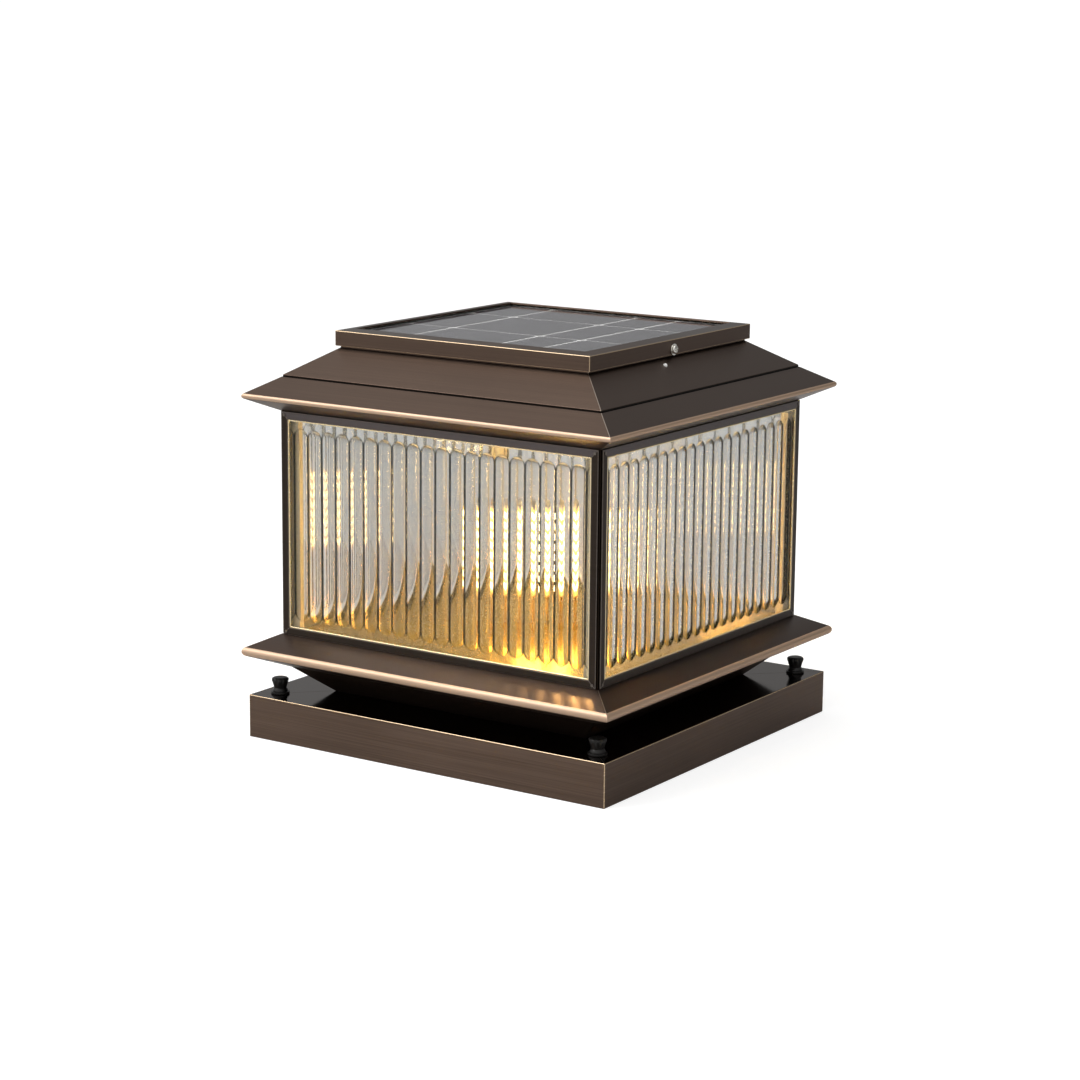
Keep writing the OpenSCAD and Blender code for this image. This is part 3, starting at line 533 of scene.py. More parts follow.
@dataclass(frozen=True)
class Grain(Group):
    """Brush lines that run level round the object, and broad clouds."""

    slope: float = 0.8

    def fill(self, wiring: Wiring, entry: Node) -> Sequence[Feed]:
        """Wires the group and gives a feed for each output."""
        axes = wiring.axes()
        fall = wiring.math("MULTIPLY", wiring.math("MAXIMUM", *wiring.level_sizes(axes)), self.slope)
        climb = wiring.math("SUBTRACT", (axes, "Z"), fall)
        scaled = wiring.add("ShaderNodeCombineXYZ", {
            "X": wiring.math("MULTIPLY", (axes, "X"), (entry, "Along")),
            "Y": wiring.math("MULTIPLY", (axes, "Y"), (entry, "Along")),
            "Z": wiring.math("MULTIPLY", climb, (entry, "Across"))})
        lines = wiring.noise((scaled, 0), size=1.0, detail=4.0, roughness=0.62)
        clouds = wiring.noise(wiring.place(), size=(entry, "Cloud size"), detail=3.0)
        feeds = []
        for source in (lines, clouds):
            centred = wiring.math("SUBTRACT", source, 0.5)
            back = wiring.math("ADD", wiring.math("MULTIPLY", centred, (entry, "Contrast")), 0.5)
            back[0].use_clamp = True
            feeds.append(back)
        return feeds


@dataclass(frozen=True)
class Ridges(Group):
    """Masks of thin lines between two flutes and round their ends on the outer side, which get painted
    shade, and of the inner side.
    """

    inner_edge: Point = (0.0048, 0.0053)
    outer_edge: Point = (0.0061, 0.0066)
    end_fade: Point = (0.001, 0.005)
    end_strength: float = 0.4

    def fill(self, wiring: Wiring, entry: Node) -> Sequence[Feed]:
        """Wires the group and gives a feed for each output."""
        axes = wiring.axes()
        across = wiring.off_middle(wiring.along_face(axes), (entry, "Pitch"))
        off = wiring.math("ABSOLUTE", wiring.math("SUBTRACT", (axes, "Z"), (entry, "Middle")))
        end = wiring.math("MAXIMUM", wiring.math("SUBTRACT", off, (entry, "Half length")), 0.0)
        distance = wiring.length(across, end)
        rise = wiring.ramp(distance, *self.inner_edge, 0.0, 1.0)
        fall = wiring.ramp(distance, *self.outer_edge, 1.0, 0.0)
        fade = wiring.ramp(end, *self.end_fade, 1.0, self.end_strength)
        line = wiring.math("MULTIPLY", wiring.math("MULTIPLY", rise, fall), fade)
        far = wiring.math("MAXIMUM", *wiring.level_sizes(axes))
        outside = wiring.math("GREATER_THAN", far, (entry, "Outer"))
        return wiring.math("MULTIPLY", line, outside), wiring.math("LESS_THAN", far, (entry, "Outer"))


class Speckle(Group):
    """Small grains of moulded, cast or printed surfaces, and broad patches."""

    def fill(self, wiring: Wiring, entry: Node) -> Sequence[Feed]:
        """Wires the group and gives a feed for each output."""
        place = wiring.place()
        return (wiring.noise(place, size=(entry, "Size"), detail=2.0),
                wiring.noise(place, size=25.0, detail=3.0))


GRAIN = Grain("Metal grain", {"Along": 6.0, "Across": 900.0, "Cloud size": 9.0, "Contrast": 1.0},
              ("Streak", "Cloud"))
RIDGES = Ridges("Flute ridges", {"Pitch": 0.012, "Middle": 0.15225, "Half length": 0.0617, "Outer": 0.1278},
                ("Ridge", "Inside"))
SPECKLE = Speckle("Fine speckle", {"Size": 400.0}, ("Grain", "Patch"))


@dataclass(frozen=True)
class Surface:
    """A finish, whose material is built once."""

    name: str

    def material(self) -> Material:
        """Builds the material, or gives the one that is there."""
        found = bpy.data.materials.get(self.name)
        if found:
            return found
        made = bpy.data.materials.new(self.name)
        made.use_nodes = True
        wiring = Wiring(made.node_tree)
        wiring.add("ShaderNodeOutputMaterial", {"Surface": (self.shader(wiring), 0)})
        return made

    def shader(self, wiring: Wiring) -> Node:
        """Wires the finish and gives its last node."""
        raise NotImplementedError


@dataclass(frozen=True)
class Metal(Surface):
    """A metal surface with level brush lines and broad clouds."""

    dark: Colour
    light: Colour
    rough_low: float
    rough_high: float
    along: float = 6.0
    across: float = 900.0
    clouds: float = 9.0
    contrast: float = 1.6
    bump: float = 0.05
    metallic: float = 1.0
    brushed: float = 0.0
    cloud_share: float = 0.4

    def shader(self, wiring: Wiring) -> Node:
        """Wires the finish and gives its last node."""
        grain = GRAIN.place(wiring, {"Along": self.along, "Across": self.across,
                                     "Cloud size": self.clouds, "Contrast": self.contrast})
        share = wiring.blend(self.cloud_share, (grain, "Streak"), (grain, "Cloud"))
        shader = wiring.add("ShaderNodeBsdfPrincipled", {
            "Metallic": self.metallic, "Anisotropic": self.brushed,
            "Base Color": wiring.mix(share, self.dark, self.light),
            "Roughness": wiring.span((grain, "Streak"), self.rough_low, self.rough_high),
            "Normal": wiring.bump((grain, "Streak"), self.bump, distance=0.0002)})
        if self.brushed:
            normal = (wiring.add("ShaderNodeNewGeometry"), "Normal")
            level = wiring.cross((0, 0, 1), normal)
            wiring.feed(wiring.cross(normal, level), shader, "Tangent")
        return shader


@dataclass(frozen=True)
class Moulded(Surface):
    """A moulded, painted or printed surface with small grains."""

    dark: Colour
    light: Colour
    roughness: float
    size: float = 400.0
    bump: float = 0.15
    metallic: float = 0.0
    patch_share: float = 0.5
    uneven: float = 0.2

    def shader(self, wiring: Wiring) -> Node:
        """Wires the finish and gives its last node."""
        grain = SPECKLE.place(wiring, {"Size": self.size})
        share = wiring.blend(self.patch_share, (grain, "Grain"), (grain, "Patch"))
        low, high = [self.roughness * (1 + side * self.uneven) for side in (-1, 1)]
        return wiring.add("ShaderNodeBsdfPrincipled", {
            "Metallic": self.metallic, "Base Color": wiring.mix(share, self.dark, self.light),
            "Roughness": wiring.span((grain, "Patch"), low, high),
            "Normal": wiring.bump((grain, "Grain"), self.bump, distance=0.0001)})


@dataclass(frozen=True)
class ClearGlass(Surface):
    """Clear glass that lets lamp light through, with the faint waves of cast glass."""

    tint: Colour
    index: float
    waves: float
    wave_size: float = 60.0
    paleness: float = 1.03
    least_smooth: float = 0.012
    shade: Colour = (0.94, 0.93, 0.9)

    def shader(self, wiring: Wiring) -> Node:
        """Wires the finish and gives its last node."""
        grain = SPECKLE.place(wiring, {"Size": self.wave_size})
        paler = tuple(min(1.0, channel * self.paleness) for channel in self.tint)
        colour = wiring.mix((grain, "Patch"), self.tint, paler)
        glass = wiring.add("ShaderNodeBsdfPrincipled", {
            "Metallic": 0.0, "Transmission Weight": 1.0, "IOR": self.index, "Base Color": colour,
            "Roughness": wiring.span((grain, "Patch"), 0.0, self.least_smooth),
            "Normal": wiring.bump((grain, "Grain"), self.waves, distance=0.0004)})
        through = wiring.add("ShaderNodeBsdfTransparent", {"Color": (*self.shade, 1)})
        self.work(wiring, colour, glass, through)
        shadow = (wiring.add("ShaderNodeLightPath"), "Is Shadow Ray")
        return wiring.add("ShaderNodeMixShader", {0: shadow, 1: (glass, 0), 2: (through, 0)})

    def work(self, wiring: Wiring, colour: Feed, glass: Node, through: Node) -> None:
        """Leaves plain glass as it is."""


@dataclass(frozen=True)
class FlutedGlass(ClearGlass):
    """Clear glass with painted shade lines between its flutes, fine frost whose amber tint is painted glow,
    and a glossy inner face.
    """

    pitch: float = 0.012
    # Near black for the lines between the flutes: painted shade on clear glass.
    ridge: Colour = (0.012, 0.012, 0.014)
    frost_size: float = 2600.0
    # Amber on the frost spots: painted glow of the diodes in the haze.
    frost_glow_colour: Colour = (1.0, 0.78, 0.24)
    frost_edge: Point = (0.63, 0.67)
    frost_share: float = 0.8
    frost_rough: float = 0.5
    gloss: Colour = (0.7, 0.62, 0.42)
    inner_index: float = 2.4
    stripe_edge: Point = (0.0015, 0.0045)
    stripe_dark: Colour = (0.25, 0.23, 0.2)
    stripe_light: Colour = (1.0, 0.97, 0.9)

    def work(self, wiring: Wiring, colour: Feed, glass: Node, through: Node) -> None:
        """Adds the painted shade lines, the frost with its amber painted glow, the stripes that the flutes
        cast and the inner face's gloss.

        Args:
            wiring: The material's nodes.
            colour: The colour of the plain glass.
            glass: The shader that is seen.
            through: The shader that lamp light goes through.
        """
        lines = RIDGES.place(wiring)
        frost = SPECKLE.place(wiring, {"Size": self.frost_size})
        spots = wiring.ramp((frost, "Grain"), *self.frost_edge, 0.0, 1.0)
        # The frost spots are tinted amber as painted glow.
        warm = wiring.mix(wiring.math("MULTIPLY", spots, self.frost_share), colour, self.frost_glow_colour)
        across = wiring.off_middle(wiring.along_face(wiring.axes()), self.pitch)
        hollow = wiring.ramp(across, *self.stripe_edge, 0.0, 1.0)
        back = (wiring.add("ShaderNodeNewGeometry"), "Backfacing")
        for value, node, entry in (
                (wiring.mix((lines, "Ridge"), warm, self.ridge), glass, "Base Color"),
                (wiring.math("MULTIPLY", spots, self.frost_rough), glass, "Roughness"),
                (wiring.math("GREATER_THAN", (lines, "Inside"), back), glass, "Coat Weight"),
                (self.inner_index, glass, "Coat IOR"),
                ((*self.gloss, 1), glass, "Specular Tint"),
                (wiring.mix(hollow, self.stripe_dark, self.stripe_light), through, "Color")):
            wiring.feed(value, node, entry)


@dataclass(frozen=True)
class Glow(Surface):
    """A surface that shines, a little uneven."""

    warm: Colour
    pale: Colour
    strength: float

    def shader(self, wiring: Wiring) -> Node:
        """Wires the finish and gives its last node."""
        colour = wiring.mix((SPECKLE.place(wiring), "Patch"), self.warm, self.pale)
        return wiring.add("ShaderNodeBsdfPrincipled", {
            "Roughness": 0.4, "Emission Strength": self.strength, "Base Color": colour,
            "Emission Color": self.masked(wiring, colour)})

    def masked(self, wiring: Wiring, colour: Feed) -> Feed:
        """Shines all over."""
        return colour


@dataclass(frozen=True)
class DottedGlow(Glow):
    """Light diodes, whose die shines in the middle of each."""

    dim: Colour = (0.0014, 0.00085, 0.0002)
    column_pitch: float = 0.008
    row_pitch: float = 0.0074
    middle: float = 0.1289
    dot_radius: float = 0.0021
    blur: float = 0.0003

    def masked(self, wiring: Wiring, colour: Feed) -> Feed:
        """Shines on the dies only.

        Args:
            wiring: The material's nodes.
            colour: The light's colour.

        Returns:
            The colour that varies over the diode.
        """
        axes = wiring.axes()
        least = wiring.math("MINIMUM", *wiring.level_sizes(axes))
        beside = wiring.math("ADD", least, self.column_pitch / 2)
        height = wiring.math("SUBTRACT", (axes, "Z"), self.middle)
        distance = wiring.length(wiring.off_middle(beside, self.column_pitch),
                                 wiring.off_middle(height, self.row_pitch))
        dot = wiring.ramp(distance, self.dot_radius - self.blur, self.dot_radius + self.blur, 1.0, 0.0)
        return wiring.mix(dot, self.dim, colour)


@dataclass(frozen=True)
class PaleFloor(Surface):
    """A matt surface that also shines for the camera, so that it shows white and keeps the shadow."""

    colour: Colour
    lift: float

    def shader(self, wiring: Wiring) -> Node:
        """Wires the finish and gives its last node."""
        matt = (wiring.add("ShaderNodeBsdfDiffuse", {"Color": (*self.colour, 1)}), 0)
        lit = (wiring.add("ShaderNodeEmission", {"Color": (1, 1, 1, 1), "Strength": self.lift}), 0)
        seen = (wiring.add("ShaderNodeLightPath"), "Is Camera Ray")
        both = (wiring.add("ShaderNodeAddShader", {0: matt, 1: lit}), 0)
        return wiring.add("ShaderNodeMixShader", {0: seen, 1: matt, 2: both})


@dataclass(frozen=True)
class CellSurface(Surface):
    """Dark solar cells with fine silver fingers."""

    body: Colour
    finger: Colour
    pitch: float = 0.0024
    finger_share: float = 0.09
    rough_low: float = 0.3
    rough_high: float = 0.5

    def shader(self, wiring: Wiring) -> Node:
        """Wires the finish and gives its last node."""
        share = wiring.math("FRACT", wiring.math("DIVIDE", (wiring.axes(), "X"), self.pitch))
        line = wiring.math("LESS_THAN", share, self.finger_share)
        return wiring.add("ShaderNodeBsdfPrincipled", {
            "Metallic": 0.3, "Base Color": wiring.mix(line, self.body, self.finger),
            "Roughness": wiring.span((SPECKLE.place(wiring), "Patch"), self.rough_low, self.rough_high)})


class Finish:
    """The finishes of this lantern."""

    BRONZE = Metal("Brushed bronze", (0.073, 0.050, 0.038), (0.13, 0.088, 0.066), 0.3, 0.42, contrast=1.3,
                   along=4.0, across=1500, brushed=0.6)
    # Same bronze as the other rings, darkened on the tray as painted shade.
    TRAY_SHADED_BRONZE = Metal("Brushed tray bronze", (0.056, 0.038, 0.029), (0.10, 0.068, 0.052), 0.3, 0.42,
                        contrast=1.4, along=4.0, across=1500, brushed=0.6)
    BASE_BRONZE = Metal("Brushed base bronze", (0.075, 0.051, 0.038), (0.19, 0.131, 0.099), 0.3, 0.42,
                        along=9.0, across=1300, clouds=6.0, brushed=0.6)
    # The base top is the same bronze, glossier: its gloss is real, its darker colour is a painted
    # reflection of the dark tray over it.
    TOP_PAINTED_DARK_BRONZE = Metal("Gloss bronze black", (0.05, 0.036, 0.028), (0.075, 0.055, 0.042), 0.08, 0.16,
                       bump=0.01)
    # Much brighter than the bronze of the rings: a painted highlight on the rolled rims.
    BULLNOSE_HIGHLIGHT = Metal("Polished rim", (0.48, 0.34, 0.24), (0.70, 0.50, 0.36), 0.46, 0.56, bump=0.02)
    # Light lines on the rounded mitre corners of the rings and the hip: a painted highlight.
    MITRE_HIGHLIGHT = Metal("Crease line", (0.34, 0.28, 0.235), (0.52, 0.44, 0.37), 0.3, 0.42)
    # Near black on the hip's lowest upright strip: a painted shadow in the seam under the hip.
    GAP_SHADOW = Metal("Dark seam", (0.008, 0.006, 0.005), (0.016, 0.012, 0.010), 0.45, 0.6)
    # Bright bronze on the rounded edges of the base and the cap frame: a painted highlight.
    EDGE = Metal("Worn bright edge", (0.50, 0.36, 0.225), (0.78, 0.60, 0.40), 0.2, 0.32)
    FRAME = Metal("Frame bronze", (0.030, 0.023, 0.018), (0.055, 0.042, 0.034), 0.25, 0.4, contrast=1.0)
    # A lighter copy of the frame bronze for the front of the top bar: painted light.
    TOP_BAR_LIT = Metal("Frame top bar", (0.09, 0.076, 0.073), (0.15, 0.128, 0.125), 0.28, 0.4, contrast=1.0)
    # Bright bronze on the rounded edges of the pane frames and the neck, a painted highlight; the frame
    # rivets take it as their own colour.
    BEVEL_HIGHLIGHT_AND_RIVETS = Metal("Frame bevel", (0.12, 0.10, 0.088), (0.22, 0.19, 0.165), 0.25, 0.35)
    POST = Metal("Dark post", (0.02, 0.014, 0.010), (0.035, 0.024, 0.018), 0.35, 0.5)
    NUT = Metal("Black satin nut", (0.012, 0.012, 0.012), (0.03, 0.028, 0.026), 0.28, 0.42,
                along=300, across=300, metallic=0.6)
    STEEL = Metal("Zinc steel", (0.42, 0.42, 0.43), (0.62, 0.62, 0.62), 0.3, 0.5, along=60, across=60)
    GOLD_SHEET = Moulded("Gold liner", (0.46, 0.21, 0.0), (1.0, 0.66, 0.04), 0.24,
                         size=300, bump=0.6, metallic=1.0)
    FOOT = Metal("Gilt lamp foot", (0.62, 0.34, 0.05), (0.90, 0.60, 0.16), 0.2, 0.35, along=200, across=40)
    POST_LINER = Moulded("Gilt post liner", (0.50, 0.43, 0.31), (0.62, 0.54, 0.40), 0.4, metallic=0.2)
    BEAD = Metal("Gilt bead", (0.9, 0.72, 0.42), (1.0, 0.86, 0.58), 0.2, 0.3)
    SCREW = Metal("Bright screw", (0.7, 0.68, 0.63), (0.88, 0.86, 0.80), 0.18, 0.3, along=200, across=200)
    ALUMINIUM = Metal("Lamp aluminium", (0.75, 0.73, 0.69), (0.9, 0.88, 0.84), 0.3, 0.45,
                      along=200, across=40)
    WHITE = Moulded("White liner", (0.93, 0.88, 0.76), (0.98, 0.94, 0.84), 0.5)
    RUBBER = Moulded("Seal rubber", (0.02, 0.02, 0.02), (0.035, 0.035, 0.033), 0.7)
    # The board is no lamp: its warm glow is painted light.
    BOARD = Glow("Diode board", (1.0, 0.60, 0.14), (1.0, 0.68, 0.20), 1.2)
    PANEL_BOARD = Moulded("Panel board", (0.88, 0.88, 0.86), (0.96, 0.96, 0.94), 0.5)
    PLASTIC = Moulded("Black plastic", (0.02, 0.02, 0.022), (0.04, 0.04, 0.042), 0.5)
    SLEEVE = Moulded("Cell sleeve", (0.03, 0.13, 0.30), (0.05, 0.18, 0.38), 0.35)
    LEAD = Moulded("Lead sleeve", (0.03, 0.028, 0.027), (0.05, 0.047, 0.045), 0.45)
    LENS = Moulded("Indicator lens", (0.9, 0.9, 0.86), (0.98, 0.98, 0.95), 0.2, bump=0.02)
    GLASS = FlutedGlass("Fluted glass", (0.95, 0.965, 0.97), 1.49, 0.12)
    COVER = ClearGlass("Panel cover", (0.97, 0.97, 0.98), 1.2, 0.02)
    FLOOR = PaleFloor("Pale floor", (0.53, 0.53, 0.53), 0.66)
    CELLS = CellSurface("Solar cell", (0.022, 0.020, 0.028), (0.08, 0.075, 0.09))
    DIODE = DottedGlow("Diode", (1.0, 0.68, 0.24), (1.0, 0.78, 0.36), 1400.0)


def dress(piece: Object, *finishes: Surface) -> Object:
    """Gives a piece its finishes, in the order of its material places."""
    piece.data.materials.clear()
    for finish in finishes:
        piece.data.materials.append(finish.material())
    return piece


def set_in(piece: Object, body: str, node: str) -> None:
    """Lets a piece stand for a CAD node on a body, and reports it.

    Args:
        piece: The finished piece.
        body: The CAD body that it moves with.
        node: The CAD node that it stands for.
    """
    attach(piece, body)
    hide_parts(node)
    LOG.info("%s: %d faces on %s", piece.name, len(piece.data.polygons), body)


@dataclass
class Base:
    """The folded base box with its mitre lines."""

    half: float = 148.0
    height: float = 30.5
    neck_foot_half: float = 105.0
    groove: float = 0.3
    edge_round: float = 0.55
    foot_edge: float = 1.5

    def box(self) -> Object:
        """Models the box: four walls and a top, with a round upper edge and mitre lines."""
        piece = block("base_shell", (-self.half, -self.half, 0), (self.half, self.half, self.height))
        inner = self.half - SHEET
        cut(piece, block("base_room", (-inner, -inner, -5 * SPARE), (inner, inner, self.height - SHEET)))
        bpy.context.view_layer.update()
        dress(piece, Finish.BASE_BRONZE, Finish.EDGE, Finish.TOP_PAINTED_DARK_BRONZE)
        # The rounded edges take the painted edge highlight.
        soften(piece, self.edge_round, segments=3, angle=40, edge_slot=EDGED)
        # The top faces take the glossy bronze that is darkened as a painted reflection.
        mark(piece, MARKED, lambda face: face.normal.z > LEVEL
             and face.center.z > (self.height - NEAR) * MM)
        mark(piece, PLAIN, lambda face: face.center.z < self.foot_edge * MM)
        mark(piece, PLAIN, lambda face: reach(face) < (self.half - SHEET / 2) * MM
             and face.center.z < (self.height - SHEET / 2) * MM)
        start, end = self.neck_foot_half * math.sqrt(2) - 2 * SPARE, self.half * math.sqrt(2) + SPARE
        for corner in Corner:
            line = block("line", (start, -self.groove / 2, self.height - self.groove),
                         (end, self.groove / 2, self.height + SPARE))
            cut(piece, turn(line, turn_of(corner) + math.pi / 4))
        return smooth(piece)

    def build(self) -> None:
        """Builds the base."""
        set_in(self.box(), "lantern", "base_box")


@dataclass
class Shell:
    """The neck, the tray, the eave and the hip: mitred rings of folded sheet."""

    neck_line: tuple[Point, ...] = ((88.0, 30.5), (105.0, 30.5), (127.0, 49.3), (110.0, 49.3))
    tray_low: tuple[Point, Point] = ((110.0, 49.3), (127.0, 49.3))
    tray_high: tuple[Point, Point] = ((132.0, 73.3), (115.0, 73.3))
    tray_round: tuple[float, float, float] = (148.2, 61.5, 3.5)
    eave_low: tuple[Point, Point] = ((115.0, 231.2), (131.0, 231.2))
    eave_high: tuple[Point, ...] = ((130.4, 254.8), (130.4, 252.6), (119.8, 252.6))
    eave_round: tuple[float, float, float] = (148.1, 241.8, 2.1)
    hip_line: tuple[Point, ...] = ((119.8, 252.6), (129.8, 252.6), (129.8, 256.2), (101.5, 274.3),
                                   (101.5, 280.9), (92.0, 280.9))
    shadow_strip_top: float = 257.0
    corner_least: float = 0.85
    rim_under: float = -0.75
    slot_low: tuple[float, float, float] = (99.1, -2.1, 277.14)
    slot_high: tuple[float, float, float] = (102.7, 2.1, 285)
    room_low: tuple[float, float, float] = (95.4, -4, 275.14)
    room_high: tuple[float, float, float] = (100.3, 4, 290)

    def plain_level_edges(self, piece: Object) -> None:
        """Keeps the painted mitre highlight on the mitre corners only."""
        def level(face: MeshPolygon) -> bool:
            x, y = abs(face.normal.x), abs(face.normal.y)
            return face.material_index == EDGED and abs(x - y) > self.corner_least * max(x, y)

        mark(piece, PLAIN, level)

    def rimmed(self, name: str, low: Sequence[Point], high: Sequence[Point],
               round_part: tuple[float, float, float], finish: Surface) -> Object:
        """Models a ring with a rolled rim, whose round gets a painted highlight.

        Args:
            name: The piece's name.
            low: The line's points under the rim.
            high: The line's points over the rim.
            round_part: Half width, height and radius of the rim's round.
            finish: Finish of the broad faces.

        Returns:
            The finished ring.
        """
        half, height, radius = round_part

        def rolled(face: MeshPolygon) -> bool:
            distance = math.hypot(reach(face) - half * MM, face.center.z - height * MM)
            return abs(distance - radius * MM) < NEAR * MM and face.normal.z > self.rim_under

        line = [*low[:-1], *rolled_rim(low[-1], high[0], (half, height), radius), *high[1:]]
        piece = ring(name, folded(line))
        # The rounded corners take the painted mitre highlight.
        soften(dress(piece, finish, Finish.MITRE_HIGHLIGHT, Finish.BULLNOSE_HIGHLIGHT), edge_slot=EDGED)
        self.plain_level_edges(piece)
        # The rim's round takes the painted rim highlight.
        mark(piece, MARKED, rolled)
        return smooth(piece)

    def neck(self) -> Object:
        """Models the neck that flares up from the base."""
        piece = ring("neck_flare", folded(self.neck_line))
        # The neck's rounded edges take the painted bevel highlight.
        return smooth(soften(dress(piece, Finish.BRONZE, Finish.BEVEL_HIGHLIGHT_AND_RIVETS), 0.35, edge_slot=EDGED))

    def hip(self) -> Object:
        """Models the hip with its collar and the slots for the side screws; its lowest upright strip is
        painted near black as the shadow in the seam.
        """
        piece = ring("hip_skirt", folded(self.hip_line))
        # The rounded corners take the painted mitre highlight.
        soften(dress(piece, Finish.BRONZE, Finish.MITRE_HIGHLIGHT, Finish.GAP_SHADOW), 0.25, edge_slot=EDGED)
        self.plain_level_edges(piece)
        # The upright faces below the strip's top take the painted seam shadow.
        mark(piece, MARKED, lambda face: abs(face.normal.z) < 1 - LEVEL
             and face.center.z < self.shadow_strip_top * MM)
        for angle in (0, math.pi):
            for low, high in ((self.slot_low, self.slot_high), (self.room_low, self.room_high)):
                cut(piece, turn(block("slot", low, high), angle))
        return smooth(piece)

    def build(self) -> None:
        """Builds the four rings."""
        set_in(self.neck(), "lantern", "neck")
        tray = self.rimmed("tray_skirt", self.tray_low, self.tray_high, self.tray_round, Finish.TRAY_SHADED_BRONZE)
        set_in(tray, "lantern", "tray_ring")
        eave = self.rimmed("eave_skirt", self.eave_low, self.eave_high, self.eave_round, Finish.BRONZE)
        set_in(eave, "lantern", "eave_ring")
        set_in(self.hip(), "lantern", "hip_roof")


@dataclass
class Glazing:
    """Pane frames, beads and fluted panes on the four faces."""

    frame_half: float = 129.6
    frame_low: float = 73.5
    frame_high: float = 231.0
    bar: float = 5.2
    front: float = 132.0
    bead_inset: float = 5.3
    bead: float = 1.0
    bead_front: float = 131.8
    bead_depth: float = 1.1
    pane_half: float = 125.2
    pane_low: float = 74.9
    pane_high: float = 229.6
    pane_front: float = 130.6
    pane_back: float = 126.6
    flute_pitch: float = 12.0
    flute_radius: float = 11.4945
    flute_depth: float = 1.6
    flute_low: float = 90.55
    flute_high: float = 213.95
    flute_crease: float = 25

    def bars(self, name: str, inset: float, width: float, front: float, depth: float) -> Object:
        """Four mitred bars round an opening on the front face.

        Args:
            name: The piece's name.
            inset: How far the bars lie inside the frame's outer edge, in millimetres.
            width: Width of a bar.
            front: Distance of the front surface from the middle.
            depth: Depth of a bar.

        Returns:
            One piece of four closed bars.
        """
        half, low, high = self.frame_half - inset, self.frame_low + inset, self.frame_high - inset
        clear()
        bpy.ops.mesh.primitive_plane_add(size=1, location=(0, -front * MM, (low + high) / 2 * MM),
                                         rotation=(math.pi / 2, 0, 0))
        bpy.context.active_object.scale = (2 * half * MM, (high - low) * MM, 1)
        piece = named(name)
        edit(piece, "FACE")
        bpy.ops.mesh.inset(thickness=width * MM)
        bpy.ops.mesh.delete(type="FACE")
        bpy.ops.mesh.select_all(action="SELECT")
        bpy.ops.mesh.edge_split(type="EDGE")
        bpy.ops.mesh.select_all(action="SELECT")
        bpy.ops.mesh.extrude_region_move(TRANSFORM_OT_translate={"value": (0, depth * MM, 0)})
        bpy.ops.mesh.select_all(action="SELECT")
        bpy.ops.mesh.normals_make_consistent(inside=False)
        bpy.ops.object.mode_set(mode="OBJECT")
        return piece

    def frame(self) -> Object:
        """Models the front pane frame, with painted light on the top bar's front and a painted highlight on
        its rounded edges.
        """
        piece = self.bars("pane_frame", 0, self.bar, self.front, SHEET)
        soften(dress(piece, Finish.FRAME, Finish.BEVEL_HIGHLIGHT_AND_RIVETS, Finish.TOP_BAR_LIT), 0.35, edge_slot=EDGED)
        # Front faces of the top bar take the painted light.
        foot = (self.frame_high - self.bar) * MM
        mark(piece, MARKED, lambda face: face.center.z > foot and face.normal.y < -LEVEL
             and face.material_index == PLAIN)
        return smooth(piece)

    def glazing_bead(self) -> Object:
        """Models the front bead."""
        piece = self.bars("glazing_bead", self.bead_inset, self.bead, self.bead_front, self.bead_depth)
        return smooth(soften(dress(piece, Finish.BEAD), segments=3))

    def flute_cutter(self) -> Object:
        """Models the long capsule that scoops a flute."""
        axis = -self.pane_front + self.flute_depth - self.flute_radius
        level = self.flute_low * MM
        clear()
        bpy.ops.mesh.primitive_uv_sphere_add(segments=112, ring_count=56, radius=self.flute_radius * MM,
                                             location=(0, axis * MM, level))
        piece = named("flute_cutter")
        edit(piece, "VERT")
        bpy.ops.mesh.bisect(plane_co=(0, 0, level), plane_no=(0, 0, 1))
        pick(piece, "FACE", lambda face: face.calc_center_median().z > level)
        bpy.ops.mesh.extrude_region_move(
            TRANSFORM_OT_translate={"value": (0, 0, (self.flute_high - self.flute_low) * MM)})
        return close(piece)

    def pane(self) -> Object:
        """Models the front pane: a slab with upright scooped flutes."""
        piece = block("pane", (-self.pane_half, -self.pane_front, self.pane_low),
                      (self.pane_half, -self.pane_back, self.pane_high))
        first = self.flute_cutter()
        count = math.ceil(self.pane_half / self.flute_pitch)
        for offset in range(2):
            tools = [shift(copy(first, f"flute_{k}"), (k + 0.5) * self.flute_pitch, 0, 0)
                     for k in range(-count + offset, count, 2)]
            cut(piece, join("flutes", tools))
        bpy.data.objects.remove(first)
        take(dress(piece, Finish.GLASS))
        bpy.ops.object.shade_smooth_by_angle(angle=math.radians(self.flute_crease))
        return piece

    def build(self) -> None:
        """Builds the four glazed faces."""
        beads = []
        models = (self.frame(), self.pane(), self.glazing_bead())
        for side in Side:
            word = word_of(side)
            frame, pane, bead = [turn(copy(m, f"{m.name}_{word}_made"), turn_of(side)) for m in models]
            set_in(frame, "lantern", f"pane_frame_{word}")
            set_in(pane, "lantern", f"pane_{word}")
            beads.append(bead)
        for model in models:
            bpy.data.objects.remove(model)
        set_in(join("glazing_bead_set", beads), "lantern", "glazing_beads")


